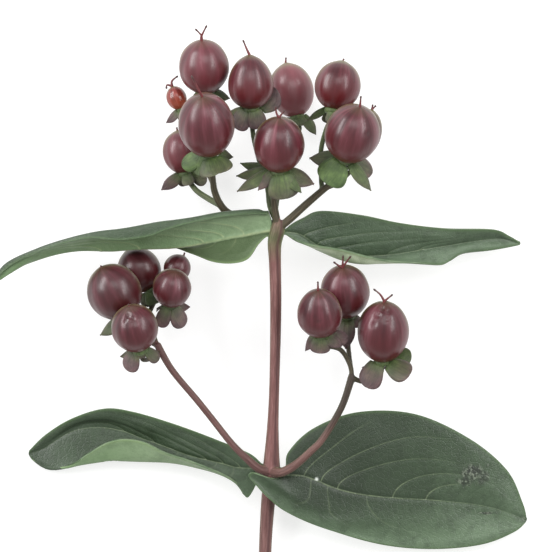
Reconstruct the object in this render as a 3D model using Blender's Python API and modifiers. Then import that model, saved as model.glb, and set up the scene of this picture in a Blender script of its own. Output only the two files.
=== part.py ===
"""A cut stem of hypericum with ripe berries, lying on a flat surface.

Every place is read off a drawing that looks straight down on the stem. Its grid steps run right and
down, and heights above the surface are in millimetres. +X is the drawing's right, +Y its top, +Z up.
"""

import math
from collections import namedtuple

import bmesh
import bpy
from mathutils import Vector

# The drawing and its scale
DRAWING_WIDTH = 0.127
DRAWING_STEPS = 552
STEP = DRAWING_WIDTH / DRAWING_STEPS
MM = 0.001

# Driving dimensions in metres
BLADE = 0.0006
GAP = 0.0003
RECEPTACLE_HEIGHT = 0.0009
PEDICEL_RADIUS = 0.0006
PEDICEL_STRAIGHT = 0.0012
BERRY_OF_FULL_STALK = 18.0
STYLE_RADIUS = 0.00032
STYLE_ROOT_DEPTH = 0.0012
CUT_PLACE = (263, 605, 1.6)
CUT_SLANT = 0.35
RESTING_BERRY = "top_3"

# A style's radius at its root, where it leaves the berry, and at each later point of its route
STYLE_TAPER = (1.5, 1.4, 1.0, 0.85)

# The plate under a berry: its rim as a share of the berry's half width, and its largest rim
RIM_SHARE = 0.36
LARGEST_RIM = 8.5
PLATE_FOOT = 1.25
PLATE_MIDDLE = 0.9

# A sepal's outline, as shares of its length and of its width
SHOULDER = 0.55
FOOT_WIDTH = 0.48
BROAD_SEPAL = 0.55
BLUNT_TIP = 0.45
SHARP_TIP = 0.2
TIP_ROUNDNESS = 2.2

# How a sepal is rooted in the plate and bends: its droop starts at a share and gains the rest
ROOT_DEPTH = 0.5
ROOT_INSET = 0.6
DROOP_START = 0.75
DROOP_GAIN = 0.35
SEPAL_CUP = 0.22

# How finely the solids are faceted
LEAF_CELLS_LONG = 16
LEAF_CELLS_WIDE = 9
BERRY_SEGMENTS = 12
BERRY_RINGS = 8
SEPAL_CELLS_LONG = 3
SEPAL_CELLS_WIDE = 2
STEM_STATIONS = 24
LEFT_BRANCH_STATIONS = 11
RIGHT_BRANCH_STATIONS = 13
STALK_STATIONS_ADDED = 3
CURVE_STEPS = 12
WELD = 1e-6
SHARP_ANGLE = 50

COLOURS = {
    "berry_skin": ((0.155, 0.050, 0.060, 1.0), 0.32),
    "berry_unripe": ((0.270, 0.035, 0.030, 1.0), 0.25),
    "leaf_green": ((0.075, 0.125, 0.075, 1.0), 0.55),
    "sepal_green": ((0.120, 0.200, 0.075, 1.0), 0.60),
    "stem_bark": ((0.250, 0.110, 0.095, 1.0), 0.60),
}

# A berry with the styles left from its flower, the sepals under it and its stalk. Lean is to the
# drawing's right and tilt lifts the style end off the surface, both in degrees. A sepal is (way it
# points round the berry, droop, length, width), where 0 points right and 90 up off the surface.
Fruit = namedtuple("Fruit", "name place half_width half_length lean tilt egg styles sepals stalk")

FRUITS = (
    Fruit("top_1", (204, 67, 17.0), 25.0, 28.0, -5, 25, 0.0,
          [[(202, 43), (201.5, 36), (195.5, 29.5)], [(202, 43), (201.5, 37), (207, 26)]],
          [(0, 15, 24, 12), (75, 50, 20, 18), (150, 45, 18, 15), (222, 45, 20, 16), (292, 40, 21, 15)],
          [(214.5, 192, 16.8), (212, 165, 14.2), (209.5, 125, 13.2)]),
    Fruit("top_2", (250.5, 82.5, 20.0), 22.5, 27.0, -2, 12, 0.12,
          [[(248.5, 57.5), (247, 50), (243, 40.5)]],
          [(184, 0, 24, 10), (150, 46, 25, 20), (60, 58, 22, 18), (330, -38, 36, 26), (262, 45, 21, 16)],
          [(276, 222, 16.8), (269.5, 206, 17.1), (267, 186, 17.2), (259, 160, 17.4), (253.5, 137, 17.9)]),
    Fruit("top_3", (291.5, 90, 4.75), 22.0, 27.5, -12, -5, 0.0,
          [[(285.5, 63.5), (286, 57)]],
          [(85, 68, 12, 16), (30, 52, 27, 12), (150, 45, 19, 15), (215, 40, 18, 14), (330, 35, 19, 13)],
          [(277, 222, 16.2), (276, 207, 14.8), (281, 185, 12.0), (293, 150, 8.0)]),
    Fruit("top_4", (337.5, 86, 18.0), 23.0, 25.0, 12, -3, 0.0,
          [[(343, 62.5), (344, 59)]],
          [(183, 30, 26, 9), (80, 56, 17, 13), (30, 45, 20, 14), (262, 45, 18, 14), (325, 40, 20, 14)],
          [(322, 190.5, 19.4), (321, 175, 17.6), (321, 150, 16.8), (326, 130, 17.4)]),
    Fruit("top_5", (206.5, 125.5, 28.0), 28.0, 34.7, -8, 37, 0.0,
          [[(201.6, 98.5), (197.5, 88), (192, 77)]],
          [(170, 14, 31, 18), (75, 10, 28, 32), (138, 38, 25, 15), (350, 22, 24, 12), (252, 45, 22, 20)],
          [(277, 226, 16.2), (262, 221, 14.2), (245, 217, 13.6), (229, 213.5, 14.0), (220, 204, 15.2),
           (214.5, 191, 16.9), (213, 180, 18.4)]),
    Fruit("top_6", (279, 145, 27.0), 25.4, 28.8, 0, 25, 0.0,
          [[(280, 119.5), (276.5, 114), (275.5, 107)], [(280, 119.5), (284.5, 111.5)]],
          [(70, 50, 29, 30), (170, 21, 46, 14), (210, -2, 45, 13), (190, 8, 44, 15), (152, 32, 28, 12),
           (14, 12, 37, 19), (34, 30, 31, 13)],
          [(278, 226, 17.2), (274.5, 207, 18.6), (274, 194, 20.6), (276, 185, 22.0)]),
    Fruit("top_7", (352, 134, 28.0), 27.5, 30.8, 16, 30, 0.0,
          [[(359.6, 108.5), (360.5, 97)]],
          [(187, 11, 35, 18), (126, 38, 31, 30), (38, 18, 41, 14), (350, 14, 33, 20), (262, 42, 22, 18)],
          [(279, 228, 17.3), (290, 219, 17.6), (306, 204.5, 18.4), (323, 190, 19.6), (335, 180.5, 20.8)]),
    Fruit("top_8", (181, 152, 5.2), 18.5, 21.5, -10, 0, 0.0,
          [[(177.3, 131), (176.5, 127)]],
          [(183, 4, 22, 8), (152, 18, 31, 14), (15, 26, 23, 14), (255, 50, 15, 12), (80, 42, 17, 12)],
          [(219, 204.5, 15.0), (209, 199, 11.6), (197, 191, 7.6), (189, 182, 5.6)]),
    Fruit("top_9", (176.5, 98, 13.0), 10.0, 12.0, -20, 0, 0.0,
          [[(172.3, 86.5), (172, 81), (178, 76)], [(172.3, 87), (167, 85), (166.5, 89)]],
          [(180, 15, 19, 10), (100, 50, 12, 9), (20, 40, 11, 8), (270, 50, 12, 8)],
          [(214, 189, 16.9), (206, 172, 14.5), (197, 155, 13.0), (187, 135, 12.5)]),
    Fruit("top_10", (364, 134, 13.6), 17.0, 25.0, 18, 0, 0.0,
          [[(371.5, 110.5), (372.7, 104.5)], [(372, 110.5), (376, 105.6)]],
          [(0, 30, 20, 12), (85, 50, 18, 12), (175, 38, 18, 12), (270, 45, 17, 12)],
          [(324, 189, 19.2), (338, 183, 16.6), (350, 172, 14.4)]),
    Fruit("left_1", (114.4, 292, 13.6), 27.0, 29.0, -28, 20, 0.0,
          [[(102, 268.5), (101, 265.5)]],
          [(180, 6, 34, 15), (112, 50, 23, 17), (40, 50, 19, 14), (248, 40, 22, 16), (308, 42, 19, 14)],
          [(158, 346, 12.2), (147, 340, 11.0), (136, 330, 10.4)]),
    Fruit("left_2", (139, 270, 5.2), 21.5, 23.0, -31, 0, 0.0,
          [[(127.5, 251), (126, 249)], [(128, 251), (131, 250.5)]],
          [(98, 54, 18, 19), (24, 56, 13, 10), (150, 42, 18, 15), (258, 52, 17, 13)],
          [(157, 345, 12.2), (151, 334, 9.2), (148, 318, 6.6), (153.5, 303, 5.2)]),
    Fruit("left_3", (135, 328, 20.8), 23.4, 24.5, -14, 26, 0.0,
          [[(129.7, 307), (128.8, 304)]],
          [(148, 38, 24, 18), (25, 30, 21, 13), (186, 4, 22, 9), (268, 42, 19, 16), (86, 60, 9, 9)],
          [(160, 349, 12.3), (154, 357, 13.0), (147.5, 359.5, 14.8)]),
    Fruit("left_4", (172, 288, 14.2), 19.3, 20.0, 10, 35, 0.0,
          [],
          [(114, 52, 24, 14), (40, 34, 26, 17), (350, 0, 22, 11), (200, 40, 15, 12)],
          [(157, 345, 12.2), (154, 334, 10.8), (158, 322, 9.6), (164.5, 313, 9.6)]),
    Fruit("left_5", (177, 268, 7.4), 13.5, 14.0, 28, -10, 0.0,
          [[(183, 256), (184.5, 252.5)]],
          [(180, 40, 11, 10), (0, 35, 13, 10), (255, 45, 12, 10)],
          [(157, 345, 12.1), (154, 333, 9.6), (160, 315, 7.4), (167.5, 299, 6.6)]),
    Fruit("right_1", (319.5, 312.5, 21.2), 22.3, 26.0, -4, 34, 0.10,
          [[(318, 291.5), (317.7, 281.6)]],
          [(165, 42, 23, 10), (98, 44, 19, 19), (8, 4, 27, 15), (30, 14, 24, 13), (250, 42, 19, 14)],
          [(352, 378, 14.0), (350, 365, 14.3), (341, 350, 15.0), (328, 346, 15.8)]),
    Fruit("right_2", (345, 291.5, 13.0), 24.6, 28.3, -6, 34, 0.0,
          [[(342.6, 268.5), (339, 266), (333.5, 262)], [(342.6, 268.5), (343, 255.7)],
           [(342.6, 268.5), (347, 261), (350.8, 256.2)]],
          [(96, 30, 36, 18), (30, 30, 16, 11), (160, 40, 22, 13), (240, 42, 18, 13), (312, 38, 17, 13)],
          [(350.5, 366, 14.2), (349, 354, 10.8), (348, 341, 8.3), (348, 328, 7.8)]),
    Fruit("right_3", (383, 331.5, 17.0), 25.8, 31.4, 2, 20, 0.0,
          [[(384.3, 302.5), (380, 294.5), (373.3, 289)], [(384.3, 302.5), (392.4, 294.5)]],
          [(345, -24, 32, 19), (36, 4, 35, 23), (132, 44, 31, 23), (200, 20, 22, 13), (266, 42, 21, 17)],
          [(352, 377, 14.0), (362, 381.5, 13.3), (374, 378, 13.3), (380.5, 371, 13.6)]),
)

# The woody parts: drawing place, height in mm and radius in drawing steps
MAIN_STEM = (
    (263, 612, 1.55, 6.3), (264.5, 575, 2.2, 6.3), (265.6, 540, 3.1, 6.5), (267.8, 506, 4.2, 7.1),
    (270.5, 483, 5.5, 8.0), (271.5, 471, 6.2, 9.2), (271.7, 459, 6.8, 8.0), (272.8, 428, 8.0, 6.0),
    (274.2, 390, 9.9, 5.2), (275.4, 340, 12.0, 5.5), (275.8, 300, 13.7, 5.8), (275.0, 262, 15.2, 6.2),
    (274.6, 243, 16.1, 7.2), (277.5, 230, 16.8, 7.8), (279.5, 220, 17.2, 5.0),
)
LEFT_BRANCH = (
    (268, 472, 6.8, 6.0), (258, 468.5, 8.4, 4.7), (246, 458, 9.9, 4.0), (232, 444, 11.2, 3.6),
    (213, 420, 12.4, 3.5), (197, 400, 12.8, 3.5), (172, 370, 12.6, 3.5), (157, 344, 12.2, 3.8),
)
RIGHT_BRANCH = (
    (273, 472, 6.9, 5.6), (281, 472.5, 9.8, 4.8), (290, 468.5, 11.0, 4.6), (299, 462, 12.0, 4.2),
    (311, 451, 12.8, 3.9), (321, 441, 13.3, 3.7), (334, 421, 13.8, 3.6), (343.7, 402, 14.0, 3.6),
    (352, 376, 14.0, 4.0),
)
THICK_STALKS = {"top_5": 4.3, "top_6": 3.8, "top_7": 4.1, "top_8": 3.3}

# Each leaf is lofted through rails that run from its base to its tip, listed from its far margin
# across the midrib to its near margin
LEAVES = {
    "leaf_lower_right": (
        ((285.5, 467, 7.6), (288.5, 452, 7.4), (313, 429, 6.6), (357, 412.5, 5.8), (414, 414, 5.0),
         (468, 438, 3.8), (507, 470, 2.2), (523, 503, 0.9), (527.5, 520, 0.35)),
        ((285, 470.5, 7.6), (297, 462, 7.4), (330, 450, 6.4), (375, 446, 5.6), (425, 455, 4.8),
         (470, 475, 3.6), (505, 497, 1.9), (527.5, 520.5, 0.3)),
        ((284.5, 475, 7.7), (306, 477, 7.3), (340, 490, 6.0), (379, 497, 5.0), (439, 501, 3.7),
         (482, 506, 2.2), (508, 513, 1.1), (527, 521.5, 0.3)),
        ((284, 478.5, 7.9), (291, 493, 8.0), (320, 509, 6.6), (379, 523, 5.0), (439, 526, 3.6),
         (482, 526, 2.2), (526.5, 522.5, 0.3)),
        ((283, 481, 8.1), (272, 479, 9.2), (262, 475.5, 9.7), (252, 472.5, 9.7), (248.5, 476, 9.5),
         (255, 484, 9.3), (268, 498, 8.8),
         (286, 512, 7.8), (324, 528.5, 6.2), (381, 545, 4.8), (434, 549.5, 3.6), (482, 545, 2.2),
         (514, 533, 1.0), (526, 523.5, 0.35)),
    ),
    "leaf_lower_left": (
        ((261.5, 464, 6.0), (250, 454, 5.6), (219, 441, 5.2), (173, 424, 4.6), (132, 412, 4.0),
         (103, 409, 3.4), (71, 419, 2.4), (45, 435, 1.2), (28.5, 451, 0.35)),
        ((261.5, 466, 5.8), (240, 460, 5.2), (206, 448, 4.6), (165, 436, 3.9), (124, 421, 3.3),
         (95, 418, 2.8), (70, 425, 2.0), (46, 441, 1.0), (28, 453, 0.3)),
        ((261.5, 468, 5.7), (239, 468, 5.0), (223, 464, 4.6), (190, 456, 3.9), (165, 447, 3.3),
         (142, 439, 2.8), (124, 432, 2.4), (100, 428, 1.9), (72, 432, 1.3), (45, 448, 0.6),
         (28, 454.5, 0.3)),
        ((261.5, 470, 5.6), (252, 477, 5.2), (240, 480, 5.1), (223, 474, 5.0), (190, 466, 4.6),
         (157, 462, 4.3), (115, 462, 3.9), (80, 464, 3.3), (57, 467.5, 2.2), (41, 465.5, 0.9),
         (28.5, 456, 0.3)),
        ((261, 472, 5.5), (256, 485, 5.2), (247, 498, 5.0), (239, 486, 5.4), (223, 475, 6.2),
         (190, 461.5, 7.0), (165, 453, 7.4), (144, 442.5, 7.4), (124, 439.5, 7.2), (107, 443, 6.6),
         (88, 454, 5.4), (73, 464, 3.8), (50, 468.5, 1.6), (29.5, 457.5, 0.35)),
    ),
    "leaf_upper_left": (
        ((262.5, 214.5, 18.4), (250, 214.5, 18.8), (222, 217.5, 19.0), (193, 223, 19.1),
         (167, 230, 19.1), (150, 236.5, 18.8), (120, 240.5, 18.0), (92, 238.5, 16.8),
         (67, 243, 15.2), (38, 252.5, 12.5), (10, 266, 9.6), (-9, 285, 8.0)),
        ((263.5, 212, 17.8), (255, 210.5, 18.0), (222, 214, 18.2), (193, 218.5, 18.2),
         (150, 225, 18.0), (120, 230, 17.2), (92, 233.5, 16.0), (67, 239.5, 14.6),
         (38, 249.5, 12.0), (6, 264.5, 9.0), (-9.5, 285, 7.8)),
        ((266.5, 220, 17.2), (240, 224, 16.2), (205, 231, 15.2), (165, 236, 14.4), (120, 240, 13.4),
         (80, 244, 12.0), (40, 254, 10.0), (-10, 285.5, 7.6)),
        ((267.5, 231, 16.8), (246, 235, 15.6), (232, 237, 15.0), (205, 242, 14.0), (181, 246.5, 13.2),
         (150, 248, 12.2), (115, 250.5, 11.2), (77, 250, 10.0), (38, 259.5, 8.6), (9.6, 271, 7.6),
         (-10, 286, 7.4)),
        ((267, 234, 16.7), (250, 245, 15.2), (228, 250, 14.0), (200, 249, 12.4), (165, 246, 10.0),
         (115, 247, 8.8), (77, 248, 8.2), (38, 258, 7.4), (9.6, 271, 7.0), (-10, 286.5, 7.2)),
        ((266.3, 237, 16.5), (258, 245, 15.6), (248, 259, 14.4), (232, 263.3, 13.4), (213, 261.5, 12.2),
         (193, 253.5, 10.4), (165, 245, 8.2), (115, 244, 6.8), (77, 246.5, 6.6), (38, 257, 6.4),
         (9.6, 270.5, 6.4), (-9.5, 287, 7.0)),
    ),
    "leaf_upper_right": (
        ((286, 229, 16.8), (292, 224, 16.2), (303, 218, 15.2), (321, 211, 14.0), (361, 215, 12.0),
         (400, 223, 10.2), (446, 228.5, 8.2), (493, 229.5, 5.8), (510, 236, 4.4), (520, 242.5, 3.6)),
        ((286, 230.5, 16.7), (302, 227, 15.0), (325, 228, 12.8), (361, 235, 10.8), (400, 239, 9.4),
         (446, 237, 7.4), (493, 234, 5.2), (520.5, 243, 3.5)),
        ((286, 232, 16.6), (301, 235, 14.8), (320, 247, 12.4), (345, 255, 10.6), (369, 256, 9.6),
         (400, 253.5, 8.4), (433, 248, 7.0), (466, 242.5, 5.6), (500, 239, 4.2), (521, 243.7, 3.4)),
        ((286, 233.5, 16.5), (300, 241, 14.9), (321, 252.5, 13.1), (349, 262, 11.9),
         (378, 263.3, 10.9), (405, 262, 9.6), (440, 259, 7.6), (463, 251, 6.0), (491, 247, 4.6),
         (520.5, 244.4, 3.4)),
        ((285.5, 235, 16.4), (297, 241, 15.6), (313, 245.5, 15.6), (331, 248, 15.2), (345, 250.6, 14.6),
         (369, 257, 13.4), (390, 261, 11.6), (415, 263, 9.8), (440, 265, 8.2), (450, 261, 7.0),
         (463, 253, 5.6), (491, 250, 4.4), (520, 245, 3.4)),
    ),
}


def at(x, y, z):
    """A drawing place at a height in millimetres, in metres."""
    middle = DRAWING_STEPS / 2
    return Vector(((x - middle) * STEP, (middle - y) * STEP, z * MM))


def smooth_through(values, count):
    """count tuples evenly spaced in length along a smooth curve through the given tuples."""
    def blend(a, b, c, d, t):
        return 0.5 * (2 * b + (c - a) * t + (2 * a - 5 * b + 4 * c - d) * t * t
                      + (3 * b - a - 3 * c + d) * t ** 3)

    padded = [values[0], *values, values[-1]]
    dense = []
    for i in range(len(values) - 1):
        spans = padded[i:i + 4]
        for k in range(CURVE_STEPS):
            dense.append(tuple(blend(*parts, k / CURVE_STEPS) for parts in zip(*spans)))
    dense.append(tuple(values[-1]))
    lengths = [0.0]
    for one, two in zip(dense, dense[1:]):
        lengths.append(lengths[-1] + math.dist(one[:3], two[:3]))
    found = []
    k = 0
    for i in range(count):
        wanted = lengths[-1] * i / (count - 1)
        while k < len(dense) - 2 and lengths[k + 1] < wanted:
            k += 1
        span = lengths[k + 1] - lengths[k]
        share = (wanted - lengths[k]) / span if span else 0.0
        found.append(tuple(p + (q - p) * share for p, q in zip(dense[k], dense[k + 1])))
    return found


def clear_scene():
    for obj in list(bpy.data.objects):
        bpy.data.objects.remove(obj, do_unlink=True)


def make_material(name):
    colour, roughness = COLOURS[name]
    material = bpy.data.materials.new(name)
    material.use_nodes = True
    shader = material.node_tree.nodes["Principled BSDF"]
    shader.inputs["Base Color"].default_value = colour
    shader.inputs["Roughness"].default_value = roughness
    return material


def new_object(name, mesh, collection):
    obj = bpy.data.objects.new(name, mesh)
    collection.objects.link(obj)
    return obj


def mesh_from(bm, name):
    """The bmesh as a closed mesh whose faces point outwards."""
    bm.normal_update()
    bmesh.ops.recalc_face_normals(bm, faces=bm.faces)
    mesh = bpy.data.meshes.new(name)
    bm.to_mesh(mesh)
    bm.free()
    return mesh


def tube(name, route, sides_level, scraps):
    """A closed tapering tube along (place, radius) pairs, with its caps welded."""
    curve = bpy.data.curves.new(name, "CURVE")
    curve.dimensions = "3D"
    curve.bevel_depth = 1.0
    curve.bevel_resolution = sides_level
    curve.use_fill_caps = True
    spline = curve.splines.new("POLY")
    spline.points.add(len(route) - 1)
    for point, (place, radius) in zip(spline.points, route):
        point.co = (*place, 1.0)
        point.radius = radius
    guide = new_object(name, curve, scraps)
    graph = bpy.context.evaluated_depsgraph_get()
    mesh = bpy.data.meshes.new_from_object(guide.evaluated_get(graph))
    bpy.data.objects.remove(guide)
    bm = bmesh.new()
    bm.from_mesh(mesh)
    bmesh.ops.remove_doubles(bm, verts=bm.verts, dist=WELD)
    return new_object(name, mesh_from(bm, name), scraps)


def unite(name, pieces, collection):
    """One solid made of overlapping closed pieces, which are then removed."""
    first, *others = pieces
    mesh = first.data
    if others:
        group = bpy.data.collections.new(name + "_pieces")
        for piece in others:
            group.objects.link(piece)
        union = first.modifiers.new("union", "BOOLEAN")
        union.operation = "UNION"
        union.operand_type = "COLLECTION"
        union.collection = group
        union.solver = "MANIFOLD"
        graph = bpy.context.evaluated_depsgraph_get()
        mesh = bpy.data.meshes.new_from_object(first.evaluated_get(graph))
        bpy.data.collections.remove(group)
    for piece in pieces:
        bpy.data.objects.remove(piece)
    mesh.materials.clear()
    return new_object(name, mesh, collection)


def berry_axes(fruit):
    """The berry's axis to its style end, and the two ways across it: right, and up off the surface."""
    lean = math.radians(fruit.lean)
    tilt = math.radians(fruit.tilt)
    axis = Vector((math.sin(lean) * math.cos(tilt), math.cos(lean) * math.cos(tilt), math.sin(tilt)))
    right = (Vector((1, 0, 0)) - axis * axis.x).normalized()
    return axis, right, right.cross(axis)


def on_axis(fruit, distance):
    """A point on the berry's axis below its middle, in metres."""
    return at(*fruit.place) - berry_axes(fruit)[0] * distance


def pedicel_top(fruit):
    return on_axis(fruit, fruit.half_length * STEP + 2 * GAP + RECEPTACLE_HEIGHT)


def build_berry(fruit, collection, scraps):
    axis, right, up = berry_axes(fruit)
    middle = at(*fruit.place)
    bm = bmesh.new()
    bmesh.ops.create_uvsphere(bm, u_segments=BERRY_SEGMENTS, v_segments=BERRY_RINGS, radius=1.0)
    half_width = fruit.half_width * STEP
    half_length = fruit.half_length * STEP
    for vert in bm.verts:
        across = half_width * (1 - fruit.egg * vert.co.z)
        offset = right * (vert.co.x * across) + up * (vert.co.y * across)
        vert.co = middle + offset + axis * (vert.co.z * half_length)
    if fruit.name == RESTING_BERRY:
        ground = Vector((0, 0, 0))
        down = Vector((0, 0, -1))
        shell = bm.verts[:] + bm.edges[:] + bm.faces[:]
        cut = bmesh.ops.bisect_plane(bm, geom=shell, plane_co=ground, plane_no=down, clear_outer=True)
        rim = [part for part in cut["geom_cut"] if isinstance(part, bmesh.types.BMEdge)]
        bmesh.ops.holes_fill(bm, edges=rim, sides=0)
    name = "berry_" + fruit.name
    pieces = [new_object(name, mesh_from(bm, name), scraps)]
    top = middle + axis * half_length
    for index, style in enumerate(fruit.styles):
        root_radius, foot_radius, *radii = [STYLE_RADIUS * share for share in STYLE_TAPER]
        route = [(top - axis * STYLE_ROOT_DEPTH, root_radius), (top, foot_radius)]
        for (x, y), radius in zip(style[1:], radii):
            place = at(x, y, 0)
            run = math.hypot(place.x - top.x, place.y - top.y)
            place.z = top.z + run * math.tan(math.radians(fruit.tilt))
            route.append((place, radius))
        pieces.append(tube(f"{name}_style_{index}", route, 0, scraps))
    return unite(name, pieces, collection)


def sepal_outline(share, width, length):
    """Half the sepal's width at a share of its length: broad sepals are blunt, narrow ones pointed."""
    tip = BLUNT_TIP if width > BROAD_SEPAL * length else SHARP_TIP
    rise = FOOT_WIDTH + (1 - FOOT_WIDTH) * math.sin(math.pi / 2 * min(1.0, share / SHOULDER))
    past_shoulder = max(0.0, (share - SHOULDER) / (1 - SHOULDER))
    fall = 1 - (1 - tip) * past_shoulder ** TIP_ROUNDNESS
    return width / 2 * rise * fall


def build_sepal(name, fruit, sepal, scraps):
    """A thin cupped blade from inside the receptacle, bending down the stalk as it goes out."""
    turn, droop, length, width = sepal
    axis, right, up = berry_axes(fruit)
    out = right * math.cos(math.radians(turn)) + up * math.sin(math.radians(turn))
    side = axis.cross(out)
    root = on_axis(fruit, fruit.half_length * STEP + GAP + ROOT_DEPTH * RECEPTACLE_HEIGHT)
    inset = ROOT_INSET * receptacle_rim(fruit)
    bm = bmesh.new()
    bmesh.ops.create_grid(bm, x_segments=SEPAL_CELLS_LONG, y_segments=SEPAL_CELLS_WIDE, size=0.5)
    for vert in bm.verts:
        share = vert.co.x + 0.5
        across = vert.co.y * 2
        bend = math.radians(droop * (DROOP_START + DROOP_GAIN * share))
        run = (length * STEP - inset) * share
        half = sepal_outline(share, width * STEP, length * STEP)
        line = root + out * (inset + run * math.cos(bend)) - axis * (run * math.sin(bend))
        cup = (out * math.sin(bend) + axis * math.cos(bend)) * (SEPAL_CUP * half * across * across)
        vert.co = line + side * (across * half) - cup
    bmesh.ops.triangulate(bm, faces=bm.faces)
    blade = new_object(name, mesh_of_sheet(bm, name), scraps)
    return thickened(blade, scraps)


def mesh_of_sheet(bm, name):
    mesh = bpy.data.meshes.new(name)
    bm.to_mesh(mesh)
    bm.free()
    return mesh


def thickened(sheet, scraps):
    """The sheet with a blade's thickness, as a plain closed mesh."""
    solidify = sheet.modifiers.new("blade", "SOLIDIFY")
    solidify.thickness = BLADE
    solidify.offset = 0.0
    graph = bpy.context.evaluated_depsgraph_get()
    mesh = bpy.data.meshes.new_from_object(sheet.evaluated_get(graph))
    name = sheet.name
    bpy.data.objects.remove(sheet)
    bm = bmesh.new()
    bm.from_mesh(mesh)
    bmesh.ops.triangulate(bm, faces=[face for face in bm.faces if len(face.verts) > 3])
    return new_object(name, mesh_from(bm, name), scraps)


def receptacle_rim(fruit):
    return min(LARGEST_RIM, RIM_SHARE * fruit.half_width) * STEP


def build_calyx(fruit, collection, scraps):
    name = "calyx_" + fruit.name
    low = on_axis(fruit, fruit.half_length * STEP + GAP + RECEPTACLE_HEIGHT)
    high = on_axis(fruit, fruit.half_length * STEP + GAP)
    middle = (low + high) / 2
    rim = receptacle_rim(fruit)
    route = [(low, PEDICEL_RADIUS * PLATE_FOOT), (middle, rim * PLATE_MIDDLE), (high, rim)]
    pieces = [tube(name + "_receptacle", route, 2, scraps)]
    for index, sepal in enumerate(fruit.sepals):
        pieces.append(build_sepal(f"{name}_sepal_{index}", fruit, sepal, scraps))
    return unite(name, pieces, collection)


def stalk_route(fruit):
    """The stalk's route: from what it grows out of, up to just under its calyx."""
    top_radius = PEDICEL_RADIUS * min(1.0, fruit.half_width / BERRY_OF_FULL_STALK)
    radius = THICK_STALKS.get(fruit.name, top_radius / STEP)
    end = pedicel_top(fruit)
    places = [tuple(at(*place)) for place in fruit.stalk]
    places.append(tuple(end - berry_axes(fruit)[0] * PEDICEL_STRAIGHT))
    count = len(places) + STALK_STATIONS_ADDED
    route = []
    for index, place in enumerate(smooth_through(places, count)):
        share = (index / count) ** 2
        route.append((Vector(place), radius * STEP * (1 - share) + top_radius * share))
    route.append((end, top_radius))
    return route


def branch_route(points, count):
    places = [(*at(x, y, z), radius * STEP) for x, y, z, radius in points]
    return [(Vector(place[:3]), place[3]) for place in smooth_through(places, count)]


def build_stem(collection, scraps):
    trunk = tube("stem", branch_route(MAIN_STEM, STEM_STATIONS), 2, scraps)
    bm = bmesh.new()
    bm.from_mesh(trunk.data)
    whole = bm.verts[:] + bm.edges[:] + bm.faces[:]
    cut_facing = Vector((CUT_SLANT, -1, 0)).normalized()
    cut = bmesh.ops.bisect_plane(bm, geom=whole, plane_co=at(*CUT_PLACE), plane_no=cut_facing,
                                 clear_outer=True)
    rim = [part for part in cut["geom_cut"] if isinstance(part, bmesh.types.BMEdge)]
    bmesh.ops.holes_fill(bm, edges=rim, sides=0)
    bmesh.ops.recalc_face_normals(bm, faces=bm.faces)
    bm.to_mesh(trunk.data)
    bm.free()
    pieces = [trunk]
    pieces.append(tube("left_branch", branch_route(LEFT_BRANCH, LEFT_BRANCH_STATIONS), 2, scraps))
    pieces.append(tube("right_branch", branch_route(RIGHT_BRANCH, RIGHT_BRANCH_STATIONS), 2, scraps))
    for fruit in FRUITS:
        pieces.append(tube("stalk_" + fruit.name, stalk_route(fruit), 1, scraps))
    return unite("stem", pieces, collection)


def build_leaf(name, rails, collection, scraps):
    """A blade lofted through its rails, split alike on both faces, a blade's thickness thick."""
    lines = [smooth_through([tuple(at(*point)) for point in rail], LEAF_CELLS_LONG + 1)
             for rail in rails]
    sections = [smooth_through(list(section), LEAF_CELLS_WIDE + 1) for section in zip(*lines)]
    bm = bmesh.new()
    bmesh.ops.create_grid(bm, x_segments=LEAF_CELLS_LONG, y_segments=LEAF_CELLS_WIDE, size=0.5)
    for vert in bm.verts:
        along = round((vert.co.x + 0.5) * LEAF_CELLS_LONG)
        across = round((vert.co.y + 0.5) * LEAF_CELLS_WIDE)
        vert.co = sections[along][across]
    bmesh.ops.triangulate(bm, faces=bm.faces)
    sheet = new_object(name, mesh_of_sheet(bm, name), scraps)
    return unite(name, [thickened(sheet, scraps)], collection)


def centre_on_footprint(nodes):
    """Puts the origin under the middle of the whole stem, on the surface."""
    corners = [vert.co for node in nodes for vert in node.data.vertices]
    low = Vector(min(corner[axis] for corner in corners) for axis in range(3))
    high = Vector(max(corner[axis] for corner in corners) for axis in range(3))
    shift = Vector(((low.x + high.x) / 2, (low.y + high.y) / 2, low.z))
    for node in nodes:
        for vert in node.data.vertices:
            vert.co -= shift
    return shift


def main():
    clear_scene()
    scene_root = bpy.context.scene.collection
    stem_collection = bpy.data.collections.new("Hypericum berry stem")
    scraps = bpy.data.collections.new("Scraps")
    scene_root.children.link(stem_collection)
    scene_root.children.link(scraps)
    materials = {name: make_material(name) for name in COLOURS}
    finishes = {}
    finishes[build_stem(stem_collection, scraps)] = "stem_bark"
    for name, rails in LEAVES.items():
        finishes[build_leaf(name, rails, stem_collection, scraps)] = "leaf_green"
    for fruit in FRUITS:
        skin = "berry_unripe" if fruit.name == "top_9" else "berry_skin"
        finishes[build_berry(fruit, stem_collection, scraps)] = skin
        finishes[build_calyx(fruit, stem_collection, scraps)] = "sepal_green"
    for node, finish in finishes.items():
        node.data.materials.append(materials[finish])
        if finish != "leaf_green":
            node.data.shade_smooth()
            node.data.set_sharp_from_angle(angle=math.radians(SHARP_ANGLE))
    shift = centre_on_footprint(list(finishes))
    print("origin moved by", [round(value * 1000, 4) for value in shift], "mm")
    bpy.data.collections.remove(scraps)


main()
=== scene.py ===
# %% [markdown]
# # A cut stem of hypericum berries, laid down and looked at from above
#
# The real thing is one cut stem. A woody stalk carries two pairs of leaves, two side branches and a
# bunch of fleshy berries at its end. Each berry sits on a small plate, the receptacle, with three to
# seven sepals round it, and the dried styles of the flower still stand at its other end. Here every
# piece is a mesh of its own, made with bmesh operators, and each finish is a small node tree.

# %% Load the frame
import math
from collections import namedtuple

import bmesh
import bpy
import numpy as np
from mathutils import Matrix, Vector, noise


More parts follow.
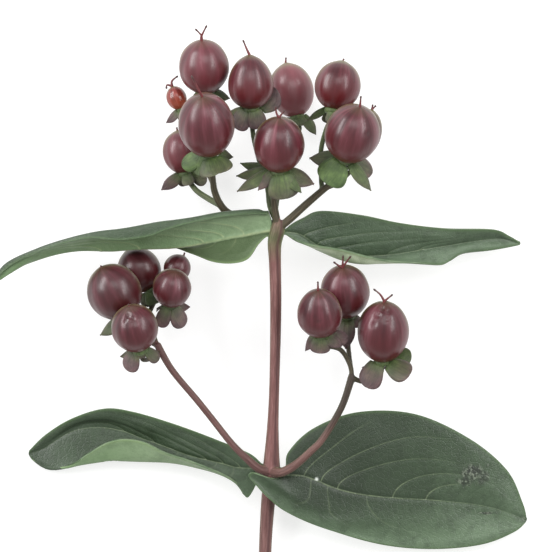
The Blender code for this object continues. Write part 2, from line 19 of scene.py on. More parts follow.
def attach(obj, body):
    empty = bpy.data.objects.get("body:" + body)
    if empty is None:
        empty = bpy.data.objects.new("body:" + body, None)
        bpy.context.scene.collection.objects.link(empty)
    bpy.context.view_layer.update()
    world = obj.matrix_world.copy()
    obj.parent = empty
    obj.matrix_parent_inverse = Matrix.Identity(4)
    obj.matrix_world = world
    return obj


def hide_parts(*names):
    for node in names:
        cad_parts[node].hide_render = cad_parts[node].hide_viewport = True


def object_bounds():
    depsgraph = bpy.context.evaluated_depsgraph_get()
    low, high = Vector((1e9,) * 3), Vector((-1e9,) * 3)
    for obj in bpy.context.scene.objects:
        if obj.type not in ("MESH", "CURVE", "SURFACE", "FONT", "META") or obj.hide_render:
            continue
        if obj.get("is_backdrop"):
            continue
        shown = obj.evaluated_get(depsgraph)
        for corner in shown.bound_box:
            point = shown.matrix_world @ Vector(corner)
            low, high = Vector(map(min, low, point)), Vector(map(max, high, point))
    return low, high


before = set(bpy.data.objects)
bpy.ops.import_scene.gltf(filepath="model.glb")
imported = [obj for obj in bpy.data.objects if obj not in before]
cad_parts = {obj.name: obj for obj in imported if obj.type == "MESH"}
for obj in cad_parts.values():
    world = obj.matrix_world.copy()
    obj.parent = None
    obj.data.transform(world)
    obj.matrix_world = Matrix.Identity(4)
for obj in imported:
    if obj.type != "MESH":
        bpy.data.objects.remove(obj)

cad_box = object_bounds()
print("nodes in the frame:", len(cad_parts))

# %% [markdown]
# ## The drawing
#
# All places come from a drawing that looks straight down on the stem, the way a florist's picture
# shows it. Its grid steps run right and down, and heights above the table are in millimetres. One
# function turns such a place into metres, so the tables below can be checked against the picture.
# Three more do small sums that every piece needs.

# %% Turn drawing places into metres
DRAWING_WIDTH = 0.127
DRAWING_STEPS = 552
STEP = DRAWING_WIDTH / DRAWING_STEPS
MM = 0.001
ORIGIN_SHIFT = Vector((3.9825, 9.2709, 0.0017)) * MM
CURVE_STEPS = 12


def at(x, y, z):
    """A drawing place at a height in millimetres, in metres."""
    middle = DRAWING_STEPS / 2
    return Vector(((x - middle) * STEP, (middle - y) * STEP, z * MM)) + ORIGIN_SHIFT


def smooth_through(values, count):
    """count tuples evenly spaced in length along a smooth curve through the given tuples."""
    def blend(a, b, c, d, t):
        return 0.5 * (2 * b + (c - a) * t + (2 * a - 5 * b + 4 * c - d) * t * t
                      + (3 * b - a - 3 * c + d) * t ** 3)

    padded = [values[0], *values, values[-1]]
    dense = []
    for i in range(len(values) - 1):
        spans = padded[i:i + 4]
        for k in range(CURVE_STEPS):
            dense.append(tuple(blend(*parts, k / CURVE_STEPS) for parts in zip(*spans)))
    dense.append(tuple(values[-1]))
    lengths = [0.0]
    for one, two in zip(dense, dense[1:]):
        lengths.append(lengths[-1] + math.dist(one[:3], two[:3]))
    found = []
    k = 0
    for i in range(count):
        wanted = lengths[-1] * i / (count - 1)
        while k < len(dense) - 2 and lengths[k + 1] < wanted:
            k += 1
        span = lengths[k + 1] - lengths[k]
        share = (wanted - lengths[k]) / span if span else 0.0
        found.append(tuple(p + (q - p) * share for p, q in zip(dense[k], dense[k + 1])))
    return found


def clamp(value, low=0.0, high=1.0):
    return min(high, max(low, value))


def spots_away(place, spot, wide, high):
    """How far a place is from the middle of a spot on the drawing, in half sizes of that spot."""
    middle = at(*spot, 0)
    return math.hypot((place.x - middle.x) / (wide * STEP), (place.y - middle.y) / (high * STEP))


print("one grid step is", round(STEP / MM, 3), "mm")

# %% [markdown]
# ## The fruits
#
# Each row is one berry: its middle on the drawing, its half sizes, how it leans and tilts, and then
# the things that grow on it. A table like this is easier to correct than eighteen hand-placed
# spheres, because one number moves the berry together with its sepals, styles and stalk.

# %% Where each berry sits
# A berry with the styles left from its flower, the sepals under it and its stalk. Lean is to the
# drawing's right and tilt lifts the style end off the surface, both in degrees. Egg narrows the
# style end. A style is the places that it passes after the berry's end. A sepal is (way it points
# round the berry, droop, length, width), where 0 points right and 90 up off the surface.
Fruit = namedtuple("Fruit", "name place half_width half_length lean tilt egg styles sepals stalk")

FRUITS = (
    Fruit("top_1", (204, 67, 17.0), 25.0, 28.0, -5, 25, 0.0,
          [[(201.5, 36), (195.5, 29.5)], [(201.5, 37), (207, 26)]],
          [(0, 15, 24, 12), (75, 50, 20, 18), (150, 45, 18, 15), (222, 45, 20, 16), (292, 40, 21, 15)],
          [(214.5, 192, 16.8), (212, 165, 14.2), (209.5, 125, 13.2)]),
    Fruit("top_2", (250.5, 82.5, 20.0), 22.5, 27.0, -2, 12, 0.12,
          [[(247, 50), (243, 40.5)]],
          [(184, 0, 24, 10), (150, 46, 25, 20), (60, 58, 22, 18), (330, -38, 36, 26), (262, 45, 21, 16)],
          [(276, 222, 16.8), (269.5, 206, 17.1), (267, 186, 17.2), (259, 160, 17.4), (253.5, 137, 17.9)]),
    Fruit("top_3", (291.5, 90, 4.75), 22.0, 27.5, -12, -5, 0.0,
          [[(286, 57)]],
          [(85, 68, 12, 16), (30, 52, 27, 12), (150, 45, 19, 15), (215, 40, 18, 14), (330, 35, 19, 13)],
          [(277, 222, 16.2), (276, 207, 14.8), (281, 185, 12.0), (293, 150, 8.0)]),
    Fruit("top_4", (337.5, 86, 18.0), 23.0, 25.0, 12, -3, 0.0,
          [[(344, 59)]],
          [(183, 30, 26, 9), (80, 56, 17, 13), (30, 45, 20, 14), (262, 45, 18, 14), (325, 40, 20, 14)],
          [(322, 190.5, 19.4), (321, 175, 17.6), (321, 150, 16.8), (326, 130, 17.4)]),
    Fruit("top_5", (206.5, 125.5, 28.0), 28.0, 34.7, -8, 37, 0.0,
          [[(197.5, 88), (192, 77)]],
          [(170, 14, 31, 18), (75, 10, 28, 32), (138, 38, 25, 15), (350, 22, 24, 12), (252, 45, 22, 20)],
          [(277, 226, 16.2), (262, 221, 14.2), (245, 217, 13.6), (229, 213.5, 14.0), (220, 204, 15.2),
           (214.5, 191, 16.9), (213, 180, 18.4)]),
    Fruit("top_6", (279, 145, 27.0), 25.4, 28.8, 0, 25, 0.0,
          [[(276.5, 114), (275.5, 107)], [(284.5, 111.5)]],
          [(70, 50, 29, 30), (170, 21, 46, 14), (210, -2, 45, 13), (190, 8, 44, 15), (152, 32, 28, 12),
           (14, 12, 37, 19), (34, 30, 31, 13)],
          [(278, 226, 17.2), (274.5, 207, 18.6), (274, 194, 20.6), (276, 185, 22.0)]),
    Fruit("top_7", (352, 134, 28.0), 27.5, 30.8, 16, 30, 0.0,
          [[(360.5, 97)]],
          [(187, 11, 35, 18), (126, 38, 31, 30), (38, 18, 41, 14), (350, 14, 33, 20), (262, 42, 22, 18)],
          [(279, 228, 17.3), (290, 219, 17.6), (306, 204.5, 18.4), (323, 190, 19.6), (335, 180.5, 20.8)]),
    Fruit("top_8", (181, 152, 5.2), 18.5, 21.5, -10, 0, 0.0,
          [[(176.5, 127)]],
          [(183, 4, 22, 8), (152, 18, 31, 14), (15, 26, 23, 14), (255, 50, 15, 12), (80, 42, 17, 12)],
          [(219, 204.5, 15.0), (209, 199, 11.6), (197, 191, 7.6), (189, 182, 5.6)]),
    Fruit("top_9", (176.5, 98, 13.0), 10.0, 12.0, -20, 0, 0.0,
          [[(172, 81), (178, 76)], [(167, 85), (166.5, 89)]],
          [(180, 15, 19, 10), (100, 50, 12, 9), (20, 40, 11, 8), (270, 50, 12, 8)],
          [(214, 189, 16.9), (206, 172, 14.5), (197, 155, 13.0), (187, 135, 12.5)]),
    Fruit("top_10", (364, 134, 13.6), 17.0, 25.0, 18, 0, 0.0,
          [[(372.7, 104.5)], [(376, 105.6)]],
          [(0, 30, 20, 12), (85, 50, 18, 12), (175, 38, 18, 12), (270, 45, 17, 12)],
          [(324, 189, 19.2), (338, 183, 16.6), (350, 172, 14.4)]),
    Fruit("left_1", (114.4, 292, 13.6), 27.0, 29.0, -28, 20, 0.0,
          [[(101, 265.5)]],
          [(180, 6, 34, 15), (112, 50, 23, 17), (40, 50, 19, 14), (248, 40, 22, 16), (308, 42, 19, 14)],
          [(158, 346, 12.2), (147, 340, 11.0), (136, 330, 10.4)]),
    Fruit("left_2", (139, 270, 5.2), 21.5, 23.0, -31, 0, 0.0,
          [[(126, 249)], [(131, 250.5)]],
          [(98, 54, 18, 19), (24, 56, 13, 10), (150, 42, 18, 15), (258, 52, 17, 13)],
          [(157, 345, 12.2), (151, 334, 9.2), (148, 318, 6.6), (153.5, 303, 5.2)]),
    Fruit("left_3", (135, 328, 20.8), 23.4, 24.5, -14, 26, 0.0,
          [[(128.8, 304)]],
          [(148, 38, 24, 18), (25, 30, 21, 13), (186, 4, 22, 9), (268, 42, 19, 16), (86, 60, 9, 9)],
          [(160, 349, 12.3), (154, 357, 13.0), (147.5, 359.5, 14.8)]),
    Fruit("left_4", (172, 288, 14.2), 19.3, 20.0, 10, 35, 0.0,
          [],
          [(114, 52, 24, 14), (40, 34, 26, 17), (350, 0, 22, 11), (200, 40, 15, 12)],
          [(157, 345, 12.2), (154, 334, 10.8), (158, 322, 9.6), (164.5, 313, 9.6)]),
    Fruit("left_5", (177, 268, 7.4), 13.5, 14.0, 28, -10, 0.0,
          [[(184.5, 252.5)]],
          [(180, 40, 11, 10), (0, 35, 13, 10), (255, 45, 12, 10)],
          [(157, 345, 12.1), (154, 333, 9.6), (160, 315, 7.4), (167.5, 299, 6.6)]),
    Fruit("right_1", (319.5, 312.5, 21.2), 22.3, 26.0, -4, 34, 0.10,
          [[(317.7, 281.6)]],
          [(165, 42, 23, 10), (98, 44, 19, 19), (8, 4, 27, 15), (30, 14, 24, 13), (250, 42, 19, 14)],
          [(352, 378, 14.0), (350, 365, 14.3), (341, 350, 15.0), (328, 346, 15.8)]),
    Fruit("right_2", (345, 291.5, 13.0), 24.6, 28.3, -6, 34, 0.0,
          [[(339, 266), (333.5, 262)], [(343, 255.7)],
           [(347, 261), (350.8, 256.2)]],
          [(96, 30, 36, 18), (30, 30, 16, 11), (160, 40, 22, 13), (240, 42, 18, 13), (312, 38, 17, 13)],
          [(350.5, 366, 14.2), (349, 354, 10.8), (348, 341, 8.3), (348, 328, 7.8)]),
    Fruit("right_3", (383, 331.5, 17.0), 25.8, 31.4, 2, 20, 0.0,
          [[(380, 294.5), (373.3, 289)], [(392.4, 294.5)]],
          [(345, -24, 32, 19), (36, 4, 35, 23), (132, 44, 31, 23), (200, 20, 22, 13), (266, 42, 21, 17)],
          [(352, 377, 14.0), (362, 381.5, 13.3), (374, 378, 13.3), (380.5, 371, 13.6)]),
)
print("berries:", len(FRUITS))

# %% [markdown]
# ## Small helpers for finishes
#
# A finish is a few nodes round one Principled shader. These helpers add a node, join sockets and mix
# colours, so that each finish below reads like a recipe. Colours are written as the hex codes of a
# picture, and turned into the linear values that the shader wants.

# %% Helpers for node trees
COAT_ROUGHNESS = 0.2


def linear(code):
    """The linear colour of a hex code such as 6E3F46."""
    parts = [int(code[i:i + 2], 16) / 255 for i in (0, 2, 4)]
    return tuple(p / 12.92 if p <= 0.04045 else ((p + 0.055) / 1.055) ** 2.4 for p in parts) + (1.0,)


class Finish:
    """One material and short ways to add nodes to it."""

    def __init__(self, name, roughness, specular=0.5, coat=0.0, sheen=0.0):
        self.material = bpy.data.materials.new(name)
        self.material.use_nodes = True
        self.tree = self.material.node_tree
        self.shader = self.tree.nodes["Principled BSDF"]
        settings = {"Roughness": roughness, "Specular IOR Level": specular, "Coat Weight": coat,
                    "Coat Roughness": COAT_ROUGHNESS, "Sheen Weight": sheen}
        for socket, value in settings.items():
            self.shader.inputs[socket].default_value = value

    def node(self, kind, **settings):
        made = self.tree.nodes.new(kind)
        for key, value in settings.items():
            setattr(made, key, value)
        return made

    def join(self, out, into):
        self.tree.links.new(out, into)

    def feed(self, socket, value):
        """Give a socket another socket, a hex colour or a number."""
        if isinstance(value, bpy.types.NodeSocket):
            self.join(value, socket)
        else:
            socket.default_value = linear(value) if isinstance(value, str) else value

    def attribute(self, name, out="Fac"):
        return self.node("ShaderNodeAttribute", attribute_name=name).outputs[out]

    def place(self):
        return self.node("ShaderNodeTexCoord").outputs["Object"]

    def noise(self, vector, scale, detail=3.0, roughness=0.55):
        made = self.node("ShaderNodeTexNoise")
        self.join(vector, made.inputs["Vector"])
        made.inputs["Scale"].default_value = scale
        made.inputs["Detail"].default_value = detail
        made.inputs["Roughness"].default_value = roughness
        return made.outputs["Fac"]

    def ramp(self, value, stops):
        """A colour for each value: stops are (value, hex code or grey level)."""
        made = self.node("ShaderNodeValToRGB")
        band = made.color_ramp
        for _ in range(len(stops) - 2):
            band.elements.new(0.5)
        for element, (place, tone) in zip(band.elements, stops):
            element.position = place
            element.color = linear(tone) if isinstance(tone, str) else (tone, tone, tone, 1.0)
        self.join(value, made.inputs["Fac"])
        return made.outputs["Color"]

    def mix(self, share, one, two):
        """Colour one with colour two over it. The colour sockets of a Mix node are its 7th and 8th."""
        made = self.node("ShaderNodeMix", data_type="RGBA")
        for number, value in ((0, share), (6, one), (7, two)):
            self.feed(made.inputs[number], value)
        return made.outputs[2]

    def compute(self, operation, *values, use_clamp=False):
        """One Math node on sockets and numbers."""
        made = self.node("ShaderNodeMath", operation=operation, use_clamp=use_clamp)
        for socket, value in zip(made.inputs, values):
            self.feed(socket, value)
        return made.outputs[0]

    def times(self, one, two):
        return self.compute("MULTIPLY", one, two)

    def relief(self, height, distance, strength):
        bump = self.node("ShaderNodeBump")
        bump.inputs["Distance"].default_value = distance
        bump.inputs["Strength"].default_value = strength
        self.join(height, bump.inputs["Height"])
        self.join(bump.outputs["Normal"], self.shader.inputs["Normal"])

    def colour(self, socket):
        self.join(socket, self.shader.inputs["Base Color"])

    def gloss(self, value, low, high):
        """Roughness that runs from low to high with a value from 0 to 1."""
        spread = self.node("ShaderNodeMapRange")
        self.join(value, spread.inputs["Value"])
        spread.inputs["To Min"].default_value = low
        spread.inputs["To Max"].default_value = high
        self.join(spread.outputs["Result"], self.shader.inputs["Roughness"])


print("a ripe skin in linear values:", [round(value, 3) for value in linear("6E3F46")[:3]])

# %% [markdown]
# ## The berry skins
#
# A ripe berry is firm and waxy, brown-red with faint stripes that run from its base to its styles.
# The stripes follow the berry's own direction, so the mesh carries a "grain" vector: the way round
# the berry and the height along it. Noise read from that vector gives stripes with no seam, which
# noise in plain object space could not do. The skin is olive near the styles and where it turns
# away from above, redder near the sepals, and dark in a dent.

# %% Finish of the berries and their styles
def berry_finish(name, stops, base_tone, crown_tone, roughness):
    skin = Finish(name, roughness, specular=0.5, coat=0.12)
    grain = skin.attribute("grain", "Vector")
    broad = skin.noise(grain, scale=1.9, detail=2.0, roughness=0.5)
    fine = skin.noise(grain, scale=7.5, detail=3.0, roughness=0.6)
    stripes = skin.mix(0.3, broad, fine)
    colour = skin.ramp(stripes, stops)
    speckle = skin.noise(skin.place(), scale=1500.0, detail=2.0)
    colour = skin.mix(skin.times(speckle, 0.22), colour, base_tone)
    base = skin.ramp(skin.attribute("along"), [(0.0, 1.0), (0.3, 0.68), (0.74, 0.0)])
    colour = skin.mix(base, colour, base_tone)
    crown = skin.ramp(skin.attribute("along"), [(0.93, 0.0), (1.0, 0.5)])
    colour = skin.mix(crown, colour, crown_tone)
    # pale is painted light: the paler skin of berries that lie low in shade
    marks = {"shade": "2C1416", "pale": "8E565C", "olive": "6A6A3E", "scar": "3A1E1E"}
    for mark, tone in marks.items():
        colour = skin.mix(skin.attribute(mark), colour, tone)
    skin.colour(colour)
    skin.gloss(stripes, roughness - 0.05, roughness + 0.1)
    skin.relief(stripes, distance=0.0002, strength=0.7)
    return skin.material


BERRY_SKIN = berry_finish(
    "berry skin", [(0.36, "36131A"), (0.48, "4B1F26"), (0.58, "613039"), (0.70, "7E5058")],
    "520B0F", "4C4028", 0.34)
UNRIPE_SKIN = berry_finish(
    "unripe berry skin", [(0.38, "481718"), (0.47, "5E2321"), (0.56, "752F2D"), (0.66, "8E443E")],
    "8E4028", "4A2A1E", 0.24)


def style_finish():
    thread = Finish("dried style", 0.55)
    colour = thread.ramp(thread.attribute("along"), [(0.0, "6A2A2E"), (0.55, "6C3234"), (1.0, "332824")])
    mottle = thread.noise(thread.place(), scale=2500.0, detail=2.0)
    thread.colour(thread.mix(thread.times(mottle, 0.35), colour, "5C2E2C"))
    thread.relief(mottle, distance=0.0001, strength=0.5)
    return thread.material


STYLE_FINISH = style_finish()
print("finishes so far:", [material.name for material in bpy.data.materials])

# %% [markdown]
# ## Helpers for meshes
#
# A bmesh is Blender's mesh while it is being worked on. The first helper gives its vertices named
# layers, which a finish can read as attributes. The next two turn the bmesh into an object that sits
# at the origin, as it is or cleaned up first. The last one sweeps a circle along a route and
# extrudes it from station to station, which makes every style, stalk and branch here.

# %% Helpers for meshes
WELD = 1e-7


def layers_on(bm, numbers, vectors=()):
    """New vertex layers by name: plain numbers first, then vectors."""
    layers = {key: bm.verts.layers.float.new(key) for key in numbers}
    for key in vectors:
        layers[key] = bm.verts.layers.float_vector.new(key)
    return layers


def placed(bm, name, materials, smooth=True):
    """The bmesh as it is, as an object at the origin."""
    for face in bm.faces:
        face.smooth = smooth
    mesh = bpy.data.meshes.new(name)
    bm.to_mesh(mesh)
    bm.free()
    for material in materials:
        mesh.materials.append(material)
    made = bpy.data.objects.new(name, mesh)
    bpy.context.scene.collection.objects.link(made)
    return made


def object_from(bm, name, materials, smooth=True):
    """The bmesh as a finished object at the origin, with its doubles merged and its faces out."""
    bmesh.ops.remove_doubles(bm, verts=bm.verts, dist=WELD)
    bm.normal_update()
    bmesh.ops.recalc_face_normals(bm, faces=bm.faces)
    return placed(bm, name, materials, smooth)


def sweep(bm, route, sides):
    """A closed tube along (place, radius) pairs. Returns its rings of vertices, start to end."""
    places = [Vector(place) for place, _ in route]
    rings = []
    across = None
    for index, (place, radius) in enumerate(route):
        ahead = places[min(index + 1, len(places) - 1)] - places[max(index - 1, 0)]
        ahead.normalize()
        if across is None:
            across = ahead.orthogonal().normalized()
        across = (across - ahead * across.dot(ahead)).normalized()
        beside = ahead.cross(across)
        if not rings:
            made = bmesh.ops.create_circle(bm, segments=sides, radius=1.0)
            ring = made["verts"]
            edges = list({edge for vert in ring for edge in vert.link_edges})
        else:
            made = bmesh.ops.extrude_edge_only(bm, edges=edges)
            ring = [part for part in made["geom"] if isinstance(part, bmesh.types.BMVert)]
            edges = [part for part in made["geom"] if isinstance(part, bmesh.types.BMEdge)]
            before = set(rings[-1])
            follows = {}
            for vert in ring:
                link = next(edge.other_vert(vert) for edge in vert.link_edges
                            if edge.other_vert(vert) in before)
                follows[link] = vert
            ring = [follows[vert] for vert in rings[-1]]
        for number, vert in enumerate(ring):
            turn = 2 * math.pi * number / sides
            vert.co = place + (across * math.cos(turn) + beside * math.sin(turn)) * radius
        rings.append(ring)
    for ring in (rings[0], rings[-1]):
        bmesh.ops.contextual_create(bm, geom=ring)
    return rings


print("vertices closer than", round(WELD / MM, 6), "mm are merged")

# %% [markdown]
# ## Berry shapes
#
# A berry is a sphere stretched along its own axis. Real ones aren't turned on a lathe: three seams
# run down them, faint ribs catch the light between the seams, and the skin pulls up to a small
# beak under the styles. A UV sphere has its poles where the seams meet, so it is the right start,
# and each vertex is moved by its height along the axis and its way round it.

# %% Marks of single berries, and painted light on some of them
DARK_FRUITS = {"left_1": 0.45, "left_2": 0.35, "left_3": 0.2, "left_4": 0.25, "left_5": 0.35,
               "right_1": 0.12, "right_2": 0.12, "right_3": 0.12, "top_7": 0.1, "top_10": 0.15}
# Painted light: a paler skin on berries that lie low among the others, standing in for the light that reaches
# them less
PAINTED_LIGHT_FRUITS = {"top_3": 0.5, "top_8": 0.2, "top_1": 0.15, "top_2": 0.05}
# Dents as drawing place, radius in steps, depth in millimetres and darkness
DENTS = {
    "left_3": [((129, 316), 2.6, 0.5, 0.45), ((134, 318), 2.4, 0.5, 0.4), ((131, 323), 2.4, 0.42, 0.4),
               ((126, 321), 2.0, 0.36, 0.25), ((137, 323), 1.8, 0.3, 0.2)],
    "right_1": [((318, 322), 2.2, 0.45, 0.6), ((316, 318), 2.0, 0.3, 0.2)],
    "top_7": [((367, 134.5), 1.7, 0.35, 0.9)],
    "right_3": [((382, 308), 2.8, 0.6, 0.5), ((388, 311), 2.4, 0.5, 0.4), ((378, 315), 2.6, 0.55, 0.4),
                ((387, 319), 2.2, 0.42, 0.3), ((374, 324), 2.4, 0.45, 0.35), ((383, 301), 2.0, 0.4, 0.3)],
}
print("berries with dents:", list(DENTS))

# %% The shape of the skin
SEAM_TURNS = (0.5, 2.6, 4.7)
SEAM_DEPTH = 0.022
SEAM_WIDTH = 0.16
RIBS = 9
RIB_DEPTH = 0.008
OLIVE = 0.7


def berry_axes(fruit):
    """The berry's axis to its style end, and the two ways across it: right, and up off the surface."""
    lean = math.radians(fruit.lean)
    tilt = math.radians(fruit.tilt)
    axis = Vector((math.sin(lean) * math.cos(tilt), math.cos(lean) * math.cos(tilt), math.sin(tilt)))
    right = (Vector((1, 0, 0)) - axis * axis.x).normalized()
    return axis, right, right.cross(axis)


def seam_shape(turn, height):
    """How far the skin stands off a smooth egg, as a share of its radius."""
    near = min(abs((turn - seam + math.pi) % (2 * math.pi) - math.pi) for seam in SEAM_TURNS)
    fade = math.sqrt(max(0.0, 1 - height * height))
    seam = SEAM_DEPTH * math.exp(-(near / SEAM_WIDTH) ** 2) * fade
    rib = RIB_DEPTH * math.cos(RIBS * turn + 2.0 * math.sin(2 * turn)) * fade
    return rib - seam


def olive_share(outward):
    """Olive rises where the skin turns away from above, most at the style end, less underneath."""
    turned_away = clamp((0.46 - outward.z) / 0.36)
    underside = clamp(1.0 + 1.3 * outward.z, low=0.4)
    return OLIVE * turned_away * underside * clamp(0.3 + 1.2 * outward.y)


print("the skin at the seams, as a share of the radius:", [round(seam_shape(k, 0), 3) for k in SEAM_TURNS])

# %% The styles at a berry's end
STYLE_RADIUS = 0.00027
STYLE_SIDES = 8
STYLE_STATIONS = 12
STYLE_ROOT = 0.0005


def style_thickness(number):
    """A style's radius at a station, in style radii: wide at its root, with a blunt end."""
    if number == STYLE_STATIONS - 1:
        return 0.6
    if number == STYLE_STATIONS - 2:
        return 0.95
    return 1.5 - 0.95 * (number / (STYLE_STATIONS - 1)) ** 0.6


def add_style(bm, along, fruit, style, top):
    """A thread from inside the berry's end, rising with the berry's own tilt."""
    places = [tuple(top - berry_axes(fruit)[0] * STYLE_ROOT), tuple(top)]
    for x, y in style:
        place = at(x, y, 0)
        run = math.hypot(place.x - top.x, place.y - top.y)
        place.z = top.z + run * math.tan(math.radians(fruit.tilt))
        places.append(tuple(place))
    stations = smooth_through(places, STYLE_STATIONS)
    route = [(Vector(place), STYLE_RADIUS * style_thickness(number)) for number, place in enumerate(stations)]
    first_face = len(bm.faces)
    for number, ring in enumerate(sweep(bm, route, STYLE_SIDES)):
        for vert in ring:
            vert[along] = number / (STYLE_STATIONS - 1)
    bm.faces.ensure_lookup_table()
    for face in bm.faces[first_face:]:
        face.material_index = 1


print("a style's radius at its root:", round(STYLE_RADIUS * style_thickness(0) / MM, 2), "mm")

# %% Make the berries
BERRY_SEGMENTS = 60
BERRY_RINGS = 40
GRAIN_RISE = 0.16
LUMPS = 0.012
LUMP_SCALE = 1.6
BEAK = 0.035
BEAK_START = 0.93


def build_berry(fruit):
    axis, right, up = berry_axes(fruit)
    middle = at(*fruit.place)
    half_width = fruit.half_width * STEP
    half_length = fruit.half_length * STEP
    seed = Vector((fruit.place[0], fruit.place[1], 0)) * 0.137
    bm = bmesh.new()
    layers = layers_on(bm, ("along", "shade", "pale", "olive", "scar"), ("grain",))
    bmesh.ops.create_uvsphere(bm, u_segments=BERRY_SEGMENTS, v_segments=BERRY_RINGS, radius=1.0)
    for vert in bm.verts:
        local = vert.co.copy()
        turn = math.atan2(local.y, local.x)
        vert[layers["grain"]] = (math.cos(turn) + seed.x, math.sin(turn) + seed.y, local.z * GRAIN_RISE)
        vert[layers["along"]] = (local.z + 1) / 2
        vert[layers["shade"]] = DARK_FRUITS.get(fruit.name, 0.0)
        # Painted light on berries that lie low in shade
        vert[layers["pale"]] = PAINTED_LIGHT_FRUITS.get(fruit.name, 0.0)
        uneven = 1 + seam_shape(turn, local.z) + LUMPS * noise.noise(local * LUMP_SCALE + seed)
        across = half_width * (1 - fruit.egg * local.z) * uneven
        beak = BEAK * max(0.0, (local.z - BEAK_START) / (1 - BEAK_START)) ** 2
        offset = right * (local.x * across) + up * (local.y * across)
        vert.co = middle + offset + axis * ((local.z + beak) * half_length)
        outward = (vert.co - middle).normalized()
        vert[layers["olive"]] = olive_share(outward)
        for spot, reach, depth, dark in DENTS.get(fruit.name, []):
            far = spots_away(vert.co, spot, reach, reach)
            if outward.z > 0 and far < 3:
                press = math.exp(-far * far)
                vert.co -= outward * (depth * MM * press)
                vert[layers["scar"]] = max(vert[layers["scar"]], dark * press)
        vert.co.z = max(vert.co.z, cad_box[0].z)
    top = middle + axis * (half_length * (1 + BEAK * 0.6))
    for style in fruit.styles:
        add_style(bm, layers["along"], fruit, style, top)
    skin = UNRIPE_SKIN if fruit.name == "top_9" else BERRY_SKIN
    piece = object_from(bm, fruit.name + "_fruit", [skin, STYLE_FINISH])
    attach(piece, "root")
    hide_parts("berry_" + fruit.name)
    return piece


fruits = [build_berry(fruit) for fruit in FRUITS]
print("berry meshes:", len(fruits), "faces in the first:", len(fruits[0].data.polygons))

# %% [markdown]
# ## The calyx: receptacle and sepals
#
# Under each berry the sepals spread from a small plate. Broad ones end round and narrow ones in a
# point, and all are cupped along their middle and veined lengthwise. Some stay green and some have
# flushed purple-brown, most of all at their tips. Each blade starts as a small grid that is bent
# into place, and bmesh's own solidify then gives it a thickness.

# %% Finish of the sepals
# How far each sepal has flushed, in the order of its berry's sepals
FLUSH = {
    "top_1": (0.35, 0.4, 0.4, 0.4, 0.4),
    "top_2": (0.45, 0.9, 0.85, 0.9, 0.8),
    "top_3": (0.3, 0.3, 0.4, 0.4, 0.2),
    "top_4": (0.35, 0.4, 0.3, 0.4, 0.4),
    "top_5": (0.0, 0.3, 0.1, 0.4, 0.4),
    "top_6": (0.35, 0.4, 0.2, 0.35, 0.8, 0.55, 0.15),
    "top_7": (0.4, 0.0, 0.3, 0.55, 0.4),
    "top_8": (0.5, 0.9, 0.5, 0.5, 0.4),
    "top_9": (1.0, 0.6, 0.5, 0.8),
    "top_10": (0.4, 0.4, 0.5, 0.5),
    "left_1": (0.35, 0.5, 0.5, 0.5, 0.5),
    "left_2": (0.15, 0.3, 0.4, 0.4),
    "left_3": (1.0, 0.6, 0.5, 0.7, 0.6),
    "left_4": (0.85, 0.9, 0.9, 0.7),
    "left_5": (0.6, 0.7, 0.6),
    "right_1": (0.95, 0.75, 0.9, 0.85, 0.8),
    "right_2": (1.0, 1.0, 1.0, 1.0, 0.9),
    "right_3": (0.15, 0.55, 0.9, 0.8, 0.8),
}


def sepal_finish():
    blade = Finish("sepal", 0.5, specular=0.4, sheen=0.15)
    green = blade.ramp(blade.noise(blade.place(), scale=420.0),
                       [(0.3, "354A22"), (0.55, "4A602F"), (0.75, "627A40")])
    dull = blade.ramp(blade.noise(blade.place(), scale=600.0),
                      [(0.3, "463636"), (0.55, "584243"), (0.75, "6A524E")])
    grain = blade.attribute("grain", "Vector")
    veins = blade.ramp(blade.noise(grain, scale=3.0), [(0.42, 0.0), (0.7, 0.55)])
    green = blade.mix(veins, green, "2C3C22")
    dull = blade.mix(veins, dull, "3A2A2C")
    blade.colour(blade.mix(blade.attribute("flush"), green, dull))
    blade.relief(blade.noise(grain, scale=4.0), distance=0.0002, strength=0.7)
    return blade.material


SEPAL_FINISH = sepal_finish()
print("sepals with a tint of their own:", sum(len(tints) for tints in FLUSH.values()))

# %% The outline of a sepal
BROAD = 0.55
BROAD_FOOT = 0.62
BROAD_MIDDLE = 0.6
NARROW_FOOT = 0.75
NARROW_MIDDLE = 0.4
SEPAL_TIP = 0.12


def sepal_half_width(share, width, length):
    """Half the sepal's width at a share of its length: broad ones are round, narrow ones pointed."""
    broad = width > BROAD * length
    foot, middle = (BROAD_FOOT, BROAD_MIDDLE) if broad else (NARROW_FOOT, NARROW_MIDDLE)
    if share < middle:
        return 0.5 * width * (foot + (1 - foot) * math.sin(math.pi / 2 * share / middle))
    fall = (share - middle) / (1 - middle)
    rest = 1 - fall ** 2
    return 0.5 * width * max(SEPAL_TIP, rest ** 0.5 if broad else rest)


for sample in (8, 4):
    outline = [round(sepal_half_width(k / 4, sample, 10), 2) for k in range(5)]
    print("half widths of a sepal", sample, "wide and 10 long, foot to tip:", outline)

# %% Where a sepal grows and which way it faces
GAP = 0.0003
RECEPTACLE_HEIGHT = 0.0009
LARGEST_RIM = 8.5
RIM_OF_BERRY = 0.36
FACING = 0.62


def on_axis(fruit, distance):
    """A point on the berry's axis below its middle, in metres."""
    return at(*fruit.place) - berry_axes(fruit)[0] * distance


def receptacle_rim(fruit):
    return min(LARGEST_RIM, RIM_OF_BERRY * fruit.half_width) * STEP


def sepal_ways(fruit, turn, droop):
    """The ways out of the berry's axis, along the sepal, and across it, turned to face upwards."""
    axis, right, up = berry_axes(fruit)
    out = right * math.cos(math.radians(turn)) + up * math.sin(math.radians(turn))
    side = axis.cross(out)
    ahead = out * math.cos(math.radians(droop)) - axis * math.sin(math.radians(droop))
    level = Vector((-ahead.y, ahead.x, 0)).normalized()
    if level.dot(side) < 0:
        level.negate()
    facing = FACING if droop < 0 or math.sin(math.radians(turn)) > -0.2 else 0.0
    return out, ahead, side.lerp(level, facing).normalized()


print("a receptacle's rim is", round(receptacle_rim(FRUITS[0]) / MM, 2), "mm from its middle")

